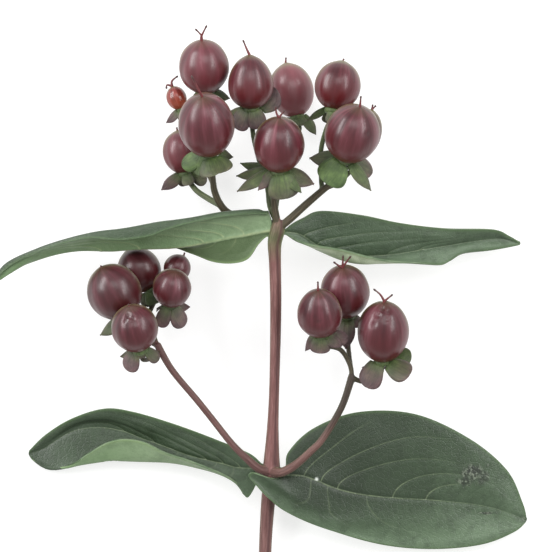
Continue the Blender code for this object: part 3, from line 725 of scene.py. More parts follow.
# %% One sepal
SEPAL_ROWS = 14
SEPAL_COLUMNS = 8
ROW_CROWDING = 1.6
SEPAL_BLADE = 0.0004
SEPAL_FULLNESS = 1.08
FOOT_ON_BERRY = 0.3
FOOT_INSET = 0.6
CUP = 0.22
SEPAL_WAVE = 0.00022
CREASE_DEPTH = 0.0001
CREASE_WIDTH = 0.15


def add_sepal(bm, layers, fruit, number):
    """One cupped blade, from inside the receptacle, bending down the stalk as it goes out."""
    turn, droop, length, width = fruit.sepals[number]
    tint = FLUSH[fruit.name][number]
    axis = berry_axes(fruit)[0]
    out, ahead, side = sepal_ways(fruit, turn, droop)
    outwards = side.cross(ahead).normalized()
    if outwards.dot(axis) < 0:
        outwards.negate()
    fullness = SEPAL_FULLNESS if width > BROAD * length else 1.0
    inset = FOOT_INSET * receptacle_rim(fruit)
    under = fruit.half_length * STEP
    root = on_axis(fruit, under + GAP + 0.5 * RECEPTACLE_HEIGHT)
    foot_out = FOOT_ON_BERRY * fruit.half_width * STEP * (1 + fruit.egg)
    foot = on_axis(fruit, under * math.sqrt(1 - FOOT_ON_BERRY ** 2) + GAP) + out * foot_out
    seed = Vector((fruit.place[0] * 0.31, number * 3.7, fruit.place[1] * 0.17))
    before = set(bm.verts)
    made = bmesh.ops.create_grid(bm, x_segments=SEPAL_ROWS, y_segments=SEPAL_COLUMNS, size=0.5)
    for vert in made["verts"]:
        share = 1 - (0.5 - vert.co.x) ** ROW_CROWDING
        across = vert.co.y * 2
        bend = math.radians(droop * (0.75 + 0.35 * share))
        run = (length * STEP - inset) * share
        half = fullness * sepal_half_width(share, width * STEP, length * STEP)
        line = root + out * (inset + run * math.cos(bend)) - axis * (run * math.sin(bend))
        line += (foot - root - out * inset) * (1 - share) ** 2
        cup = CUP * half * abs(across) ** 1.6
        wave = SEPAL_WAVE * noise.noise(Vector((share * 2.2, across * 0.9, 0)) + seed) * share
        crease = CREASE_DEPTH * math.exp(-(across / CREASE_WIDTH) ** 2)
        vert.co = line + side * (across * half) - outwards * (cup - wave + crease)
        vert[layers["grain"]] = (across * 2.4 + seed.x, share * 0.5 + seed.y, 0)
        edge = 0.35 * abs(across) ** 3 + 0.5 * share ** 2 - 0.25
        from_foot = 0.25 + 0.75 * min(1.0, share / 0.4)
        vert[layers["flush"]] = clamp(tint + edge * min(1.0, 2 * tint)) * from_foot
    faces = [face for face in bm.faces if all(vert not in before for vert in face.verts)]
    bmesh.ops.solidify(bm, geom=faces, thickness=SEPAL_BLADE)


print("quads on a sepal before it gets thick:", SEPAL_ROWS * SEPAL_COLUMNS)

# %% Make the calyxes
PEDICEL_RADIUS = 0.0006
RECEPTACLE_SIDES = 24
RECEPTACLE_FLUSH = 0.15


def build_calyx(fruit):
    bm = bmesh.new()
    layers = layers_on(bm, ("flush",), ("grain",))
    rim = receptacle_rim(fruit)
    under = fruit.half_length * STEP
    profile = [(under + GAP + RECEPTACLE_HEIGHT + 0.0002, PEDICEL_RADIUS * 1.1),
               (under + GAP + RECEPTACLE_HEIGHT, PEDICEL_RADIUS * 1.3),
               (under + GAP + 0.6 * RECEPTACLE_HEIGHT, rim * 0.8), (under + GAP, rim),
               (under - 0.0003, rim * 0.96), (under - 0.0006, rim * 0.6)]
    for ring in sweep(bm, [(on_axis(fruit, far), radius) for far, radius in profile], RECEPTACLE_SIDES):
        for number, vert in enumerate(ring):
            vert[layers["flush"]] = RECEPTACLE_FLUSH
            vert[layers["grain"]] = (number * 0.3, 0, 0)
    for number in range(len(fruit.sepals)):
        add_sepal(bm, layers, fruit, number)
    piece = object_from(bm, fruit.name + "_sepals", [SEPAL_FINISH])
    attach(piece, "root")
    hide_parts("calyx_" + fruit.name)
    return piece


calyxes = [build_calyx(fruit) for fruit in FRUITS]
print("calyx meshes:", len(calyxes), "faces in the first:", len(calyxes[0].data.polygons))

# %% [markdown]
# ## The leaves
#
# A hypericum leaf is a thin blade with a pale midrib and side veins that leave it nearly square
# and then curve towards the tip. Its top is a dull dark green and its underside paler. The leaves
# on this stem curl and fold, so each one is lofted through rails that run from its base to its tip,
# over an even grid.

# %% The rails of each leaf
# The rails of each leaf, from its far margin across the midrib to its near one
LEAVES = {
    "leaf_lower_right": (
        ((285.5, 467, 7.6), (288.5, 452, 7.4), (313, 429, 6.6), (357, 412.5, 5.8), (414, 414, 5.0),
         (468, 438, 3.8), (507, 470, 2.2), (523, 503, 0.9), (527.5, 520, 0.35)),
        ((285, 470.5, 7.6), (297, 462, 7.4), (330, 450, 6.4), (375, 446, 5.6), (425, 455, 4.8),
         (470, 475, 3.6), (505, 497, 1.9), (527.5, 520.5, 0.3)),
        ((284.5, 475, 7.7), (306, 477, 7.3), (340, 490, 6.0), (379, 497, 5.0), (439, 501, 3.7),
         (482, 506, 2.2), (508, 513, 1.1), (527, 521.5, 0.3)),
        ((284, 478.5, 7.9), (291, 493, 8.0), (320, 509, 6.6), (379, 523, 5.0), (439, 526, 3.6),
         (482, 526, 2.2), (526.5, 522.5, 0.3)),
        ((283, 481, 8.1), (272, 479, 9.2), (262, 475.5, 9.7), (252, 472.5, 9.7), (248.5, 476, 9.5),
         (255, 484, 9.3), (268, 498, 8.8),
         (286, 512, 7.8), (324, 528.5, 6.2), (381, 545, 4.8), (434, 549.5, 3.6), (482, 545, 2.2),
         (514, 533, 1.0), (526, 523.5, 0.35)),
    ),
    "leaf_lower_left": (
        ((261.5, 464, 6.0), (250, 454, 5.6), (219, 441, 5.2), (173, 424, 4.6), (132, 412, 4.0),
         (103, 409, 3.4), (71, 419, 2.4), (45, 435, 1.2), (28.5, 451, 0.35)),
        ((261.5, 466, 5.8), (240, 460, 5.2), (206, 448, 4.6), (165, 436, 3.9), (124, 421, 3.3),
         (95, 418, 2.8), (70, 425, 2.0), (46, 441, 1.0), (28, 453, 0.3)),
        ((261.5, 468, 5.7), (239, 468, 5.0), (223, 464, 4.6), (190, 456, 3.9), (165, 447, 3.3),
         (142, 439, 2.8), (124, 432, 2.4), (100, 428, 1.9), (72, 432, 1.3), (45, 448, 0.6),
         (28, 454.5, 0.3)),
        ((261.5, 470, 5.6), (252, 477, 5.2), (240, 480, 5.1), (223, 474, 5.0), (190, 466, 4.6),
         (157, 462, 4.3), (115, 462, 3.9), (80, 464, 3.3), (57, 467.5, 2.2), (41, 465.5, 0.9),
         (28.5, 456, 0.3)),
        ((261, 472, 5.5), (256, 485, 5.2), (247, 498, 5.0), (239, 486, 5.4), (223, 475, 6.2),
         (190, 461.5, 7.0), (165, 453, 7.4), (144, 442.5, 7.4), (124, 439.5, 7.2), (107, 443, 6.6),
         (88, 454, 5.4), (73, 464, 3.8), (50, 468.5, 1.6), (29.5, 457.5, 0.35)),
    ),
    "leaf_upper_left": (
        ((262.5, 214.5, 18.4), (250, 214.5, 18.8), (222, 217.5, 19.0), (193, 223, 19.1),
         (167, 230, 19.1), (150, 236.5, 18.8), (120, 240.5, 18.0), (92, 238.5, 16.8),
         (67, 243, 15.2), (38, 252.5, 12.5), (10, 266, 9.6), (-9, 285, 8.0)),
        ((263.5, 212, 17.8), (255, 210.5, 18.0), (222, 214, 18.2), (193, 218.5, 18.2),
         (150, 225, 18.0), (120, 230, 17.2), (92, 233.5, 16.0), (67, 239.5, 14.6),
         (38, 249.5, 12.0), (6, 264.5, 9.0), (-9.5, 285, 7.8)),
        ((266.5, 220, 17.2), (240, 224, 16.2), (205, 231, 15.2), (165, 236, 14.4), (120, 240, 13.4),
         (80, 244, 12.0), (40, 254, 10.0), (-10, 285.5, 7.6)),
        ((267.5, 231, 16.8), (246, 235, 15.6), (232, 237, 15.0), (205, 242, 14.0), (181, 246.5, 13.2),
         (150, 248, 12.2), (115, 250.5, 11.2), (77, 250, 10.0), (38, 259.5, 8.6), (9.6, 271, 7.6),
         (-10, 286, 7.4)),
        ((267, 234, 16.7), (250, 245, 15.2), (228, 250, 14.0), (200, 249, 12.4), (165, 246, 10.0),
         (115, 247, 8.8), (77, 248, 8.2), (38, 258, 7.4), (9.6, 271, 7.0), (-10, 286.5, 7.2)),
        ((266.3, 237, 16.5), (258, 245, 15.6), (248, 259, 14.4), (232, 263.3, 13.4), (213, 261.5, 12.2),
         (193, 253.5, 10.4), (165, 245, 8.2), (115, 244, 6.8), (77, 246.5, 6.6), (38, 257, 6.4),
         (9.6, 270.5, 6.4), (-9.5, 287, 7.0)),
    ),
    "leaf_upper_right": (
        ((286, 229, 16.8), (292, 224, 16.2), (303, 218, 15.2), (321, 211, 14.0), (361, 215, 12.0),
         (400, 223, 10.2), (446, 228.5, 8.2), (493, 229.5, 5.8), (510, 236, 4.4), (520, 242.5, 3.6)),
        ((286, 230.5, 16.7), (302, 227, 15.0), (325, 228, 12.8), (361, 235, 10.8), (400, 239, 9.4),
         (446, 237, 7.4), (493, 234, 5.2), (520.5, 243, 3.5)),
        ((286, 232, 16.6), (301, 235, 14.8), (320, 247, 12.4), (345, 255, 10.6), (369, 256, 9.6),
         (400, 253.5, 8.4), (433, 248, 7.0), (466, 242.5, 5.6), (500, 239, 4.2), (521, 243.7, 3.4)),
        ((286, 233.5, 16.5), (300, 241, 14.9), (321, 252.5, 13.1), (349, 262, 11.9),
         (378, 263.3, 10.9), (405, 262, 9.6), (440, 259, 7.6), (463, 251, 6.0), (491, 247, 4.6),
         (520.5, 244.4, 3.4)),
        ((285.5, 235, 16.4), (297, 241, 15.6), (313, 245.5, 15.6), (331, 248, 15.2), (345, 250.6, 14.6),
         (369, 257, 13.4), (390, 261, 11.6), (415, 263, 9.8), (440, 265, 8.2), (450, 261, 7.0),
         (463, 253, 5.6), (491, 250, 4.4), (520, 245, 3.4)),
    ),
}
print("leaves:", list(LEAVES))

# %% [markdown]
# ## Veins and leaf finishes
#
# The veins of a leaf are finer than any mesh that is light enough to work with. So the blade only
# swells a little between them, and the finish draws the thin pale lines. It knows how far along the
# leaf and how far out from the midrib each point is, because the mesh carries both as attributes.

# %% Veins drawn in the finish
# Side veins: share of the length where each leaves the midrib, share where it ends, and how far out
# it ends, negative towards the far margin
SIDE_VEINS = (
    (0.10, 0.36, -0.88), (0.17, 0.64, -0.86), (0.24, 0.72, -0.62), (0.59, 0.74, -0.34),
    (0.13, 0.20, 0.64), (0.20, 0.52, 0.8), (0.36, 0.70, 0.7), (0.46, 0.84, -0.55),
)
VEIN_CURVE = 2.2
VEIN_LINE = 0.0042
VEIN_SPREAD = 1.6
NEAR_VEINS = 0.4


def vein_lines(blade):
    """Thin lines along the side veins and the midrib, from the leaf's own coordinates."""
    along = blade.attribute("along")
    out = blade.attribute("out")
    rib = blade.compute("ABSOLUTE", blade.attribute("rib_gap"))
    lines = blade.compute("SUBTRACT", 1.0, rib, use_clamp=True)
    for start, end, reach in SIDE_VEINS:
        share = blade.compute("DIVIDE", out, reach)
        rise = blade.compute("POWER", blade.compute("MAXIMUM", share, 0.0), VEIN_CURVE)
        vein = blade.compute("MULTIPLY_ADD", rise, end - start, start)
        off = blade.compute("ABSOLUTE", blade.compute("SUBTRACT", along, vein))
        width = blade.compute("MULTIPLY_ADD", share, VEIN_SPREAD * VEIN_LINE, VEIN_LINE)
        line = blade.compute("SUBTRACT", 1.0, blade.compute("DIVIDE", off, width), use_clamp=True)
        fade = blade.compute("POWER", blade.compute("SUBTRACT", 1.0, share, use_clamp=True), 0.5)
        on_side = blade.compute("GREATER_THAN", share, 0.0)
        strength = 1.0 if reach < 0 else NEAR_VEINS
        shown = blade.times(blade.times(line, fade), blade.times(on_side, strength))
        lines = blade.compute("MAXIMUM", lines, shown)
    uneven = blade.ramp(blade.noise(blade.place(), scale=600.0, detail=2.0), [(0.35, 0.45), (0.6, 1.0)])
    return blade.times(lines, uneven)


print("side veins on a leaf:", len(SIDE_VEINS))

# %% Finishes of the leaves
def leaf_finish(name, tones, edge_tone, vein_tone, roughness, vein_share):
    blade = Finish(name, roughness, specular=0.45, sheen=0.08)
    cloud = blade.noise(blade.place(), scale=90.0, detail=4.0, roughness=0.6)
    # Painted sheen: the leaf's sheen share moves the colour to the lighter tones of the ramp, which stand in
    # for light caught on the blade
    painted_sheen = blade.mix(0.3, blade.attribute("painted_sheen"), cloud)
    streaks = blade.noise(blade.attribute("flow", "Vector"), scale=1.5, detail=3.0, roughness=0.6)
    colour = blade.ramp(blade.mix(0.2, painted_sheen, streaks), tones)
    dark = tones[0][1]
    grainy = blade.noise(blade.place(), scale=1900.0, detail=2.0)
    colour = blade.mix(blade.times(grainy, 0.3), colour, dark)
    patches = blade.noise(blade.place(), scale=330.0, detail=4.0, roughness=0.65)
    colour = blade.mix(blade.ramp(patches, [(0.46, 0.0), (0.66, 0.36)]), colour, dark)
    # deep is painted shade, darkening the upper left leaf's lobe that lies behind
    colour = blade.mix(blade.attribute("deep"), colour, "34461F")
    colour = blade.mix(blade.attribute("edge"), colour, edge_tone)
    colour = blade.mix(blade.times(vein_lines(blade), vein_share), colour, vein_tone)
    fleck = blade.ramp(blade.noise(blade.place(), scale=1300.0, detail=2.0), [(0.5, 0.0), (0.62, 0.8)])
    colour = blade.mix(blade.attribute("scar"), colour, blade.mix(fleck, "1C1F1A", "7C8474"))
    blade.colour(blade.mix(blade.attribute("glint"), colour, "E8EEE6"))
    blade.gloss(cloud, roughness - 0.06, roughness + 0.1)
    net = blade.node("ShaderNodeTexVoronoi", feature="DISTANCE_TO_EDGE")
    blade.join(blade.place(), net.inputs["Vector"])
    net.inputs["Scale"].default_value = 900.0
    cells = blade.ramp(net.outputs["Distance"], [(0.0, 0.0), (0.12, 1.0)])
    rough = blade.mix(0.5, cells, blade.ramp(grainy, [(0.0, 0.0), (1.0, 1.0)]))
    blade.relief(blade.mix(0.5, rough, streaks), distance=0.00016, strength=0.7)
    return blade.material


def margin_finish():
    rim = Finish("leaf margin", 0.5)
    tones = [(0.35, "4E6446"), (0.6, "6C7E60"), (0.8, "746C54")]
    rim.colour(rim.ramp(rim.noise(rim.place(), scale=300.0), tones))
    return rim.material


LEAF_TOP = leaf_finish(
    "leaf top", [(0.08, "1B2717"), (0.45, "33442E"), (0.9, "5E7258")],
    edge_tone="48603A", vein_tone="97A680", roughness=0.4, vein_share=0.4)
LEAF_UNDER = leaf_finish(
    "leaf underside", [(0.1, "4C6440"), (0.45, "6E8760"), (0.88, "98A98A"), (1.0, "C0CEB0")],
    edge_tone="748C5C", vein_tone="A8B084", roughness=0.5, vein_share=0.5)
LEAF_MARGIN = margin_finish()
print("leaf finishes:", LEAF_TOP.name, LEAF_UNDER.name, LEAF_MARGIN.name)

# %% [markdown]
# ## Building a leaf
#
# Each leaf differs in where its midrib runs, which face is its top, how its painted sheen lies (a
# lighter tone that stands in for the light its blade catches) and which marks it has. The blade is
# one grid, laid through sections that cross the rails. The veins press into it, and a Solidify
# modifier gives it an underside and a margin of their own finish.

# %% What differs from leaf to leaf
# The rail that is the midrib, and whether the sheet's own facing is the leaf's top
LEAF_FACTS = {
    "leaf_lower_right": (2, False),
    "leaf_lower_left": (2, True),
    "leaf_upper_left": (3, False),
    "leaf_upper_right": (2, False),
}
# How the painted sheen lies on each leaf, a lighter tone that stands in for the light the blade catches: its
# level, its rise to the tip, to the far and near margins
PAINTED_SHEEN = {
    "leaf_lower_right": (-0.4, 1.35, 0.0, 0.95),
    "leaf_lower_left": (0.62, -0.5, 0.0, 0.35),
    "leaf_upper_left": (0.62, -0.35, 0.1, 0.0),
    "leaf_upper_right": (0.58, 0.15, 0.1, 1.1),
}
MOST_PAINTED_SHEEN = 1.5
# Painted shade: the upper left leaf's lobe on the near side of its midrib lies behind the rest and is
# darkened
LOBE_PAINTED_SHADE = {"leaf_upper_left": 0.75}
# Marks on the lower right leaf: drawing place, half sizes in steps, darkness
SCARS = {"leaf_lower_right": [((473, 472), (12, 7), 0.8), ((466, 481), (7, 5), 0.7),
                              ((483, 477), (8, 7), 0.6), ((487, 513.5), (8, 1.4), 0.9),
                              ((526, 520), (5, 5), 0.4)]}
GLINTS = {"leaf_lower_right": [((316.6, 479.3), 1.6)]}
# How far each leaf's foot runs on into the stem, in drawing steps to the right
FOOT_REACH = {"leaf_lower_right": -6.0, "leaf_lower_left": 4.0, "leaf_upper_left": 5.0,
              "leaf_upper_right": -4.0}
print("leaves with marks:", list(SCARS))

# %% Where the veins press into the blade
VEIN_WIDTH = 0.00045
NARROWEST_HALF = 0.002


def vein_strength(along, out, length, half_width):
    """How strongly a side vein presses at a share of the length and a signed share to the margin."""
    strength = 0.0
    for start, end, reach in SIDE_VEINS:
        if out * reach <= 0 or abs(out) > abs(reach):
            continue
        share = abs(out / reach)
        line = start + (end - start) * share ** VEIN_CURVE
        slope = (end - start) * VEIN_CURVE * share ** (VEIN_CURVE - 1) / abs(reach)
        distance = abs(along - line) * length
        steep = math.hypot(1.0, slope * length / max(half_width, NARROWEST_HALF))
        near = distance / steep / VEIN_WIDTH
        side = 1.0 if reach < 0 else NEAR_VEINS
        strength = max(strength, side * math.exp(-near * near) * (1 - share) ** 0.35)
    return strength


vein_start, vein_end, vein_reach = SIDE_VEINS[2]
halfway = vein_start + (vein_end - vein_start) * 0.5 ** VEIN_CURVE
for beside in (0.0, 0.05):
    press = vein_strength(halfway + beside, vein_reach / 2, 0.06, 0.01)
    print("press halfway up a vein,", beside, "of the leaf's length beside it:", round(press, 2))

# %% Sections across a leaf
LEAF_ROWS = 190
LEAF_COLUMNS = 96
MIDRIB_INSIDE = 1e-3


def column_at(section, place):
    """Where a place lies along a section, as a share of its columns."""
    nearest = min(range(len(section)), key=lambda k: math.dist(section[k], place))
    best = (math.dist(section[nearest], place), nearest)
    place = Vector(place[:3])
    for k in (nearest - 1, nearest):
        if 0 <= k < len(section) - 1:
            one, two = Vector(section[k][:3]), Vector(section[k + 1][:3])
            run = two - one
            share = clamp((place - one).dot(run) / max(run.length_squared, 1e-12))
            best = min(best, ((one + run * share - place).length, k + share))
    return best[1] / (len(section) - 1)


def rooted(name, rail):
    """The rail with a foot that runs on into the stem, unless the rail itself turns back over it."""
    (x, y, z), (next_x, *_) = rail[:2]
    reach = FOOT_REACH[name]
    if (x - next_x) * reach < 0:
        return rail
    return ((x + reach, y, z), *rail)


def leaf_sections(name, rails):
    """The midrib, the sections across the leaf, and the share where the midrib crosses each."""
    lines = [smooth_through([tuple(at(*point)) for point in rooted(name, rail)], LEAF_ROWS + 1)
             for rail in rails]
    sections = [smooth_through(list(section), LEAF_COLUMNS + 1) for section in zip(*lines)]
    midrib = lines[LEAF_FACTS[name][0]]
    ribs = [clamp(column_at(section, place), MIDRIB_INSIDE, 1 - MIDRIB_INSIDE)
            for section, place in zip(sections, midrib)]
    return midrib, sections, ribs


def length_of(line):
    return sum(math.dist(one, two) for one, two in zip(line, line[1:]))


print("quads on a leaf:", LEAF_ROWS * LEAF_COLUMNS)

# %% The shape of a blade
MIDRIB_WIDTH = 0.0005
MIDRIB_LINE = 0.00036
MIDRIB_DEPTH = 0.00028
MARGIN_WIDTH = 0.0005
QUILT = 0.00016
WAVES = 0.00035
SWELL_FROM_MARGIN = 0.002
SWELL_FROM_ENDS = 0.06


def mark_spots(vert, layers, name):
    """Dark scars with a ragged edge and the small bright glint, at their places on the drawing."""
    for spot, size, dark in SCARS.get(name, []):
        ragged = 1 + 0.6 * noise.noise(vert.co * 900)
        far = spots_away(vert.co, spot, *size) * ragged
        vert[layers["scar"]] = max(vert[layers["scar"]], dark * math.exp(-far ** 4))
    for spot, reach in GLINTS.get(name, []):
        far = spots_away(vert.co, spot, reach, reach)
        vert[layers["glint"]] = max(vert[layers["glint"]], math.exp(-far ** 4))


def shape_blade(bm, name, rails):
    """Bend a grid through the leaf's sections, mark its vertices and press the veins into it."""
    faces_top = LEAF_FACTS[name][1]
    midrib, sections, ribs = leaf_sections(name, rails)
    length = length_of(midrib)
    spreads = [length_of(section) for section in sections]
    layers = layers_on(bm, ("along", "out", "rib_gap", "edge", "scar", "glint", "painted_sheen", "deep"), ("flow",))
    bmesh.ops.create_grid(bm, x_segments=LEAF_ROWS, y_segments=LEAF_COLUMNS, size=0.5)
    places = {}
    for vert in bm.verts:
        row = round((vert.co.x + 0.5) * LEAF_ROWS)
        column = round((vert.co.y + 0.5) * LEAF_COLUMNS)
        places[vert] = (row, column)
        vert.co = sections[row][column]
    bm.normal_update()
    seed = Vector((sum(map(ord, name)) % 17, 0, 0))
    level, to_tip, to_far, to_near = PAINTED_SHEEN[name]
    moves = {}
    for vert, (row, column) in places.items():
        along = row / LEAF_ROWS
        share = column / LEAF_COLUMNS
        rib = ribs[row]
        spread = spreads[row]
        to_margin = rib if share < rib else 1 - rib
        out = (share - rib) / to_margin
        half_width = spread * to_margin
        margin = min(share, 1 - share) * spread
        vert[layers["along"]] = along
        vert[layers["out"]] = out
        vert[layers["rib_gap"]] = (share - rib) * spread / MIDRIB_LINE / (1.05 - along)
        straight = along - 0.38 * abs(out) ** VEIN_CURVE
        vert[layers["flow"]] = (straight * length / MM, out * half_width / MM * 0.12, 0)
        vert[layers["edge"]] = 0.75 * math.exp(-(margin / MARGIN_WIDTH) ** 2)
        # Painted sheen: a lighter share towards the tip and the margins, standing in for light on the blade
        painted_sheen = level + to_tip * along + to_far * max(0.0, -out) + to_near * max(0.0, out)
        vert[layers["painted_sheen"]] = clamp(painted_sheen, high=MOST_PAINTED_SHEEN)
        # Painted shade on the upper left leaf's lobe
        vert[layers["deep"]] = LOBE_PAINTED_SHADE.get(name, 0.0) if out > 0.05 else 0.0
        mark_spots(vert, layers, name)
        ends = min(1.0, along / SWELL_FROM_ENDS) * min(1.0, (1 - along) / SWELL_FROM_ENDS)
        swell = min(1.0, margin / SWELL_FROM_MARGIN) * ends
        puff = 1 - math.exp(-((1 - vein_strength(along, out, length, half_width)) ** 2) * 3)
        wave = noise.noise(Vector((along * 7, out * 1.6, 0)) + seed) * WAVES
        from_rib = abs(share - rib) * spread / MIDRIB_WIDTH
        press = MIDRIB_DEPTH * math.exp(-from_rib * from_rib) * (1 - 0.6 * along)
        lift = swell * (QUILT * puff + wave) - press
        moves[vert] = vert.normal * (lift if faces_top else -lift)
    for vert, move in moves.items():
        vert.co += move
    if not faces_top:
        bmesh.ops.reverse_faces(bm, faces=bm.faces)
    return length


print("the midrib is pressed in by", round(MIDRIB_DEPTH / MM, 2), "mm at the leaf's foot")

# %% Make the leaves
LEAF_BLADE = 0.0005


def build_leaf(name, rails):
    bm = bmesh.new()
    length = shape_blade(bm, name, rails)
    piece = placed(bm, name + "_blade", [LEAF_TOP, LEAF_UNDER, LEAF_MARGIN])
    blade = piece.modifiers.new("blade", "SOLIDIFY")
    blade.thickness = LEAF_BLADE
    blade.offset = 0.0
    blade.material_offset = 1
    blade.material_offset_rim = 2
    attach(piece, "root")
    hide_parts(name)
    print(name, "is", round(length / MM, 1), "mm long")


for leaf_name, leaf_rails in LEAVES.items():
    build_leaf(leaf_name, leaf_rails)

# %% [markdown]
# ## The stem
#
# The stem, its two branches and eighteen stalks grew as one piece. Each part is swept along its
# own route, then all of them are melted together by a voxel remesh and smoothed, which rounds the
# forks the way growing wood does. After that each vertex looks up the nearest route, so that the
# bark's colours and its lengthwise fibres can follow the branch it belongs to.

# %% The routes of the stem and its branches
# The woody parts: drawing place, height in mm and radius in drawing steps
MAIN_STEM = (
    (263, 612, 1.55, 6.3), (264.5, 575, 2.2, 6.3), (265.6, 540, 3.1, 6.5), (267.8, 506, 4.2, 7.1),
    (270.5, 483, 5.5, 8.0), (271.5, 471, 6.2, 9.2), (271.7, 459, 6.8, 8.0), (272.8, 428, 8.0, 6.0),
    (274.2, 390, 9.9, 5.2), (275.4, 340, 12.0, 5.5), (275.8, 300, 13.7, 5.8), (275.0, 262, 15.2, 6.2),
    (274.6, 243, 16.1, 7.2), (277.5, 230, 16.8, 7.8), (279.5, 220, 17.2, 5.0),
)
LEFT_BRANCH = (
    (268, 472, 6.8, 6.0), (258, 468.5, 8.4, 4.7), (246, 458, 9.9, 4.0), (232, 444, 11.2, 3.6),
    (213, 420, 12.4, 3.5), (197, 400, 12.8, 3.5), (172, 370, 12.6, 3.5), (157, 344, 12.2, 3.8),
)
RIGHT_BRANCH = (
    (273, 472, 6.9, 5.6), (281, 472.5, 9.8, 4.8), (290, 468.5, 11.0, 4.6), (299, 462, 12.0, 4.2),
    (311, 451, 12.8, 3.9), (321, 441, 13.3, 3.7), (334, 421, 13.8, 3.6), (343.7, 402, 14.0, 3.6),
    (352, 376, 14.0, 4.0),
)
THICK_STALKS = {"top_5": 4.3, "top_6": 3.8, "top_7": 4.1, "top_8": 3.3}
print("stem stations:", len(MAIN_STEM), "left", len(LEFT_BRANCH), "right", len(RIGHT_BRANCH))

# %% Finish of the bark
def bark_finish():
    bark = Finish("young bark", 0.55, specular=0.4)
    fibre = bark.noise(bark.attribute("fibre", "Vector"), scale=2.4, detail=4.0, roughness=0.6)
    red = bark.ramp(fibre, [(0.3, "5C3C39"), (0.5, "734D4A"), (0.72, "8C6763")])
    brown = bark.ramp(fibre, [(0.3, "241A17"), (0.5, "33251F"), (0.72, "4A3730")])
    green = bark.ramp(fibre, [(0.3, "38462B"), (0.5, "4C5C38"), (0.72, "6E7D54")])
    colour = bark.mix(bark.attribute("brown"), red, brown)
    colour = bark.mix(bark.attribute("green"), colour, green)
    colour = bark.mix(bark.attribute("groove"), colour, "4A2C2C")
    bark.colour(colour)
    bark.relief(fibre, distance=0.00018, strength=0.7)
    return bark.material


BARK = bark_finish()
print("bark finish:", BARK.name)

# %% Routes of the stem, the branches and the stalks
TRUNK_STATIONS = 70
BRANCH_STATIONS = 34
PEDICEL_STRAIGHT = 0.0012
BERRY_OF_FULL_STALK = 18.0


def stalk_route(fruit):
    """The stalk's route: from what it grows out of, up to just inside its calyx."""
    top_radius = PEDICEL_RADIUS * min(1.0, fruit.half_width / BERRY_OF_FULL_STALK)
    radius = THICK_STALKS.get(fruit.name, top_radius / STEP)
    axis = berry_axes(fruit)[0]
    end = on_axis(fruit, fruit.half_length * STEP + 2 * GAP + RECEPTACLE_HEIGHT)
    places = [tuple(at(*place)) for place in fruit.stalk]
    places.append(tuple(end - axis * PEDICEL_STRAIGHT))
    count = 3 * len(places) + 4
    route = []
    for index, place in enumerate(smooth_through(places, count)):
        share = (index / count) ** 2
        route.append((Vector(place), radius * STEP * (1 - share) + top_radius * share))
    route.append((end + axis * 0.0005, top_radius))
    return route


def branch_route(points, count):
    places = [(*at(x, y, z), radius * STEP) for x, y, z, radius in points]
    return [(Vector(place[:3]), place[3]) for place in smooth_through(places, count)]


routes = {
    "trunk": branch_route(MAIN_STEM, TRUNK_STATIONS),
    "left": branch_route(LEFT_BRANCH, BRANCH_STATIONS),
    "right": branch_route(RIGHT_BRANCH, BRANCH_STATIONS),
}
routes.update({fruit.name: stalk_route(fruit) for fruit in FRUITS})
print("routes:", len(routes), "stations:", sum(len(route) for route in routes.values()))

# %% Melt the parts into one piece of wood
BRANCH_SIDES = 20
CUT_PLACE = (263, 605, 1.6)
CUT_SLANT = 0.35
VOXEL = 0.00022
SMOOTHINGS = 4


def melted_wood():
    """A bmesh of all parts swept along their routes, cut slantwise at the foot and melted into one."""
    bm = bmesh.new()
    for route in routes.values():
        sweep(bm, route, BRANCH_SIDES)
    cut = bmesh.ops.bisect_plane(bm, geom=bm.verts[:] + bm.edges[:] + bm.faces[:], plane_co=at(*CUT_PLACE),
                                 plane_no=Vector((CUT_SLANT, -1, 0)).normalized(), clear_outer=True)
    rim = [part for part in cut["geom_cut"] if isinstance(part, bmesh.types.BMEdge)]
    bmesh.ops.holes_fill(bm, edges=rim, sides=0)
    rough = object_from(bm, "stem_rough", [])
    melt = rough.modifiers.new("melt", "REMESH")
    melt.mode = "VOXEL"
    melt.voxel_size = VOXEL
    graph = bpy.context.evaluated_depsgraph_get()
    mesh = bpy.data.meshes.new_from_object(rough.evaluated_get(graph))
    bpy.data.objects.remove(rough)
    bm = bmesh.new()
    bm.from_mesh(mesh)
    for _ in range(SMOOTHINGS):
        bmesh.ops.smooth_vert(bm, verts=bm.verts, factor=0.5,
                              use_axis_x=True, use_axis_y=True, use_axis_z=True)
    return bm


wood = melted_wood()
print("vertices of the melted wood:", len(wood.verts))

# %% Lay the bark's fibres and tones on the wood
GREEN_STALKS = {"top_8": 0.7, "top_2": 0.75, "top_4": 0.8, "top_10": 0.6, "top_3": 0.6}
GROOVE_TURN = 0.5
GROOVE_WIDTH = 0.22
GROOVE_DEPTH = 0.0001


def bark_tones(kind, place):
    """Share of brown and of green at a place on a route."""
    down = (at(0, 0, 0).y - place.y) / STEP
    if kind == "trunk":
        flare = max(0.0, 1 - abs(down - 238) / 26)
        return (0.25 if down > 478 else 0.0), 0.75 * flare
    if kind == "left":
        return 0.45, 0.0
    if kind == "right":
        return clamp((460 - down) / 45, low=0.35), 0.05
    return 0.85, GREEN_STALKS.get(kind, 0.25)


def stations_of(routes):
    """Every station as its place, radius, way ahead, distance from its root, and route."""
    stations = []
    for kind, route in routes.items():
        travelled = 0.0
        for index, (place, radius) in enumerate(route):
            ahead = (route[min(index + 1, len(route) - 1)][0] - route[max(index - 1, 0)][0]).normalized()
            travelled += (place - route[index - 1][0]).length if index else 0.0
            stations.append((place, radius, ahead, travelled, kind))
    return stations


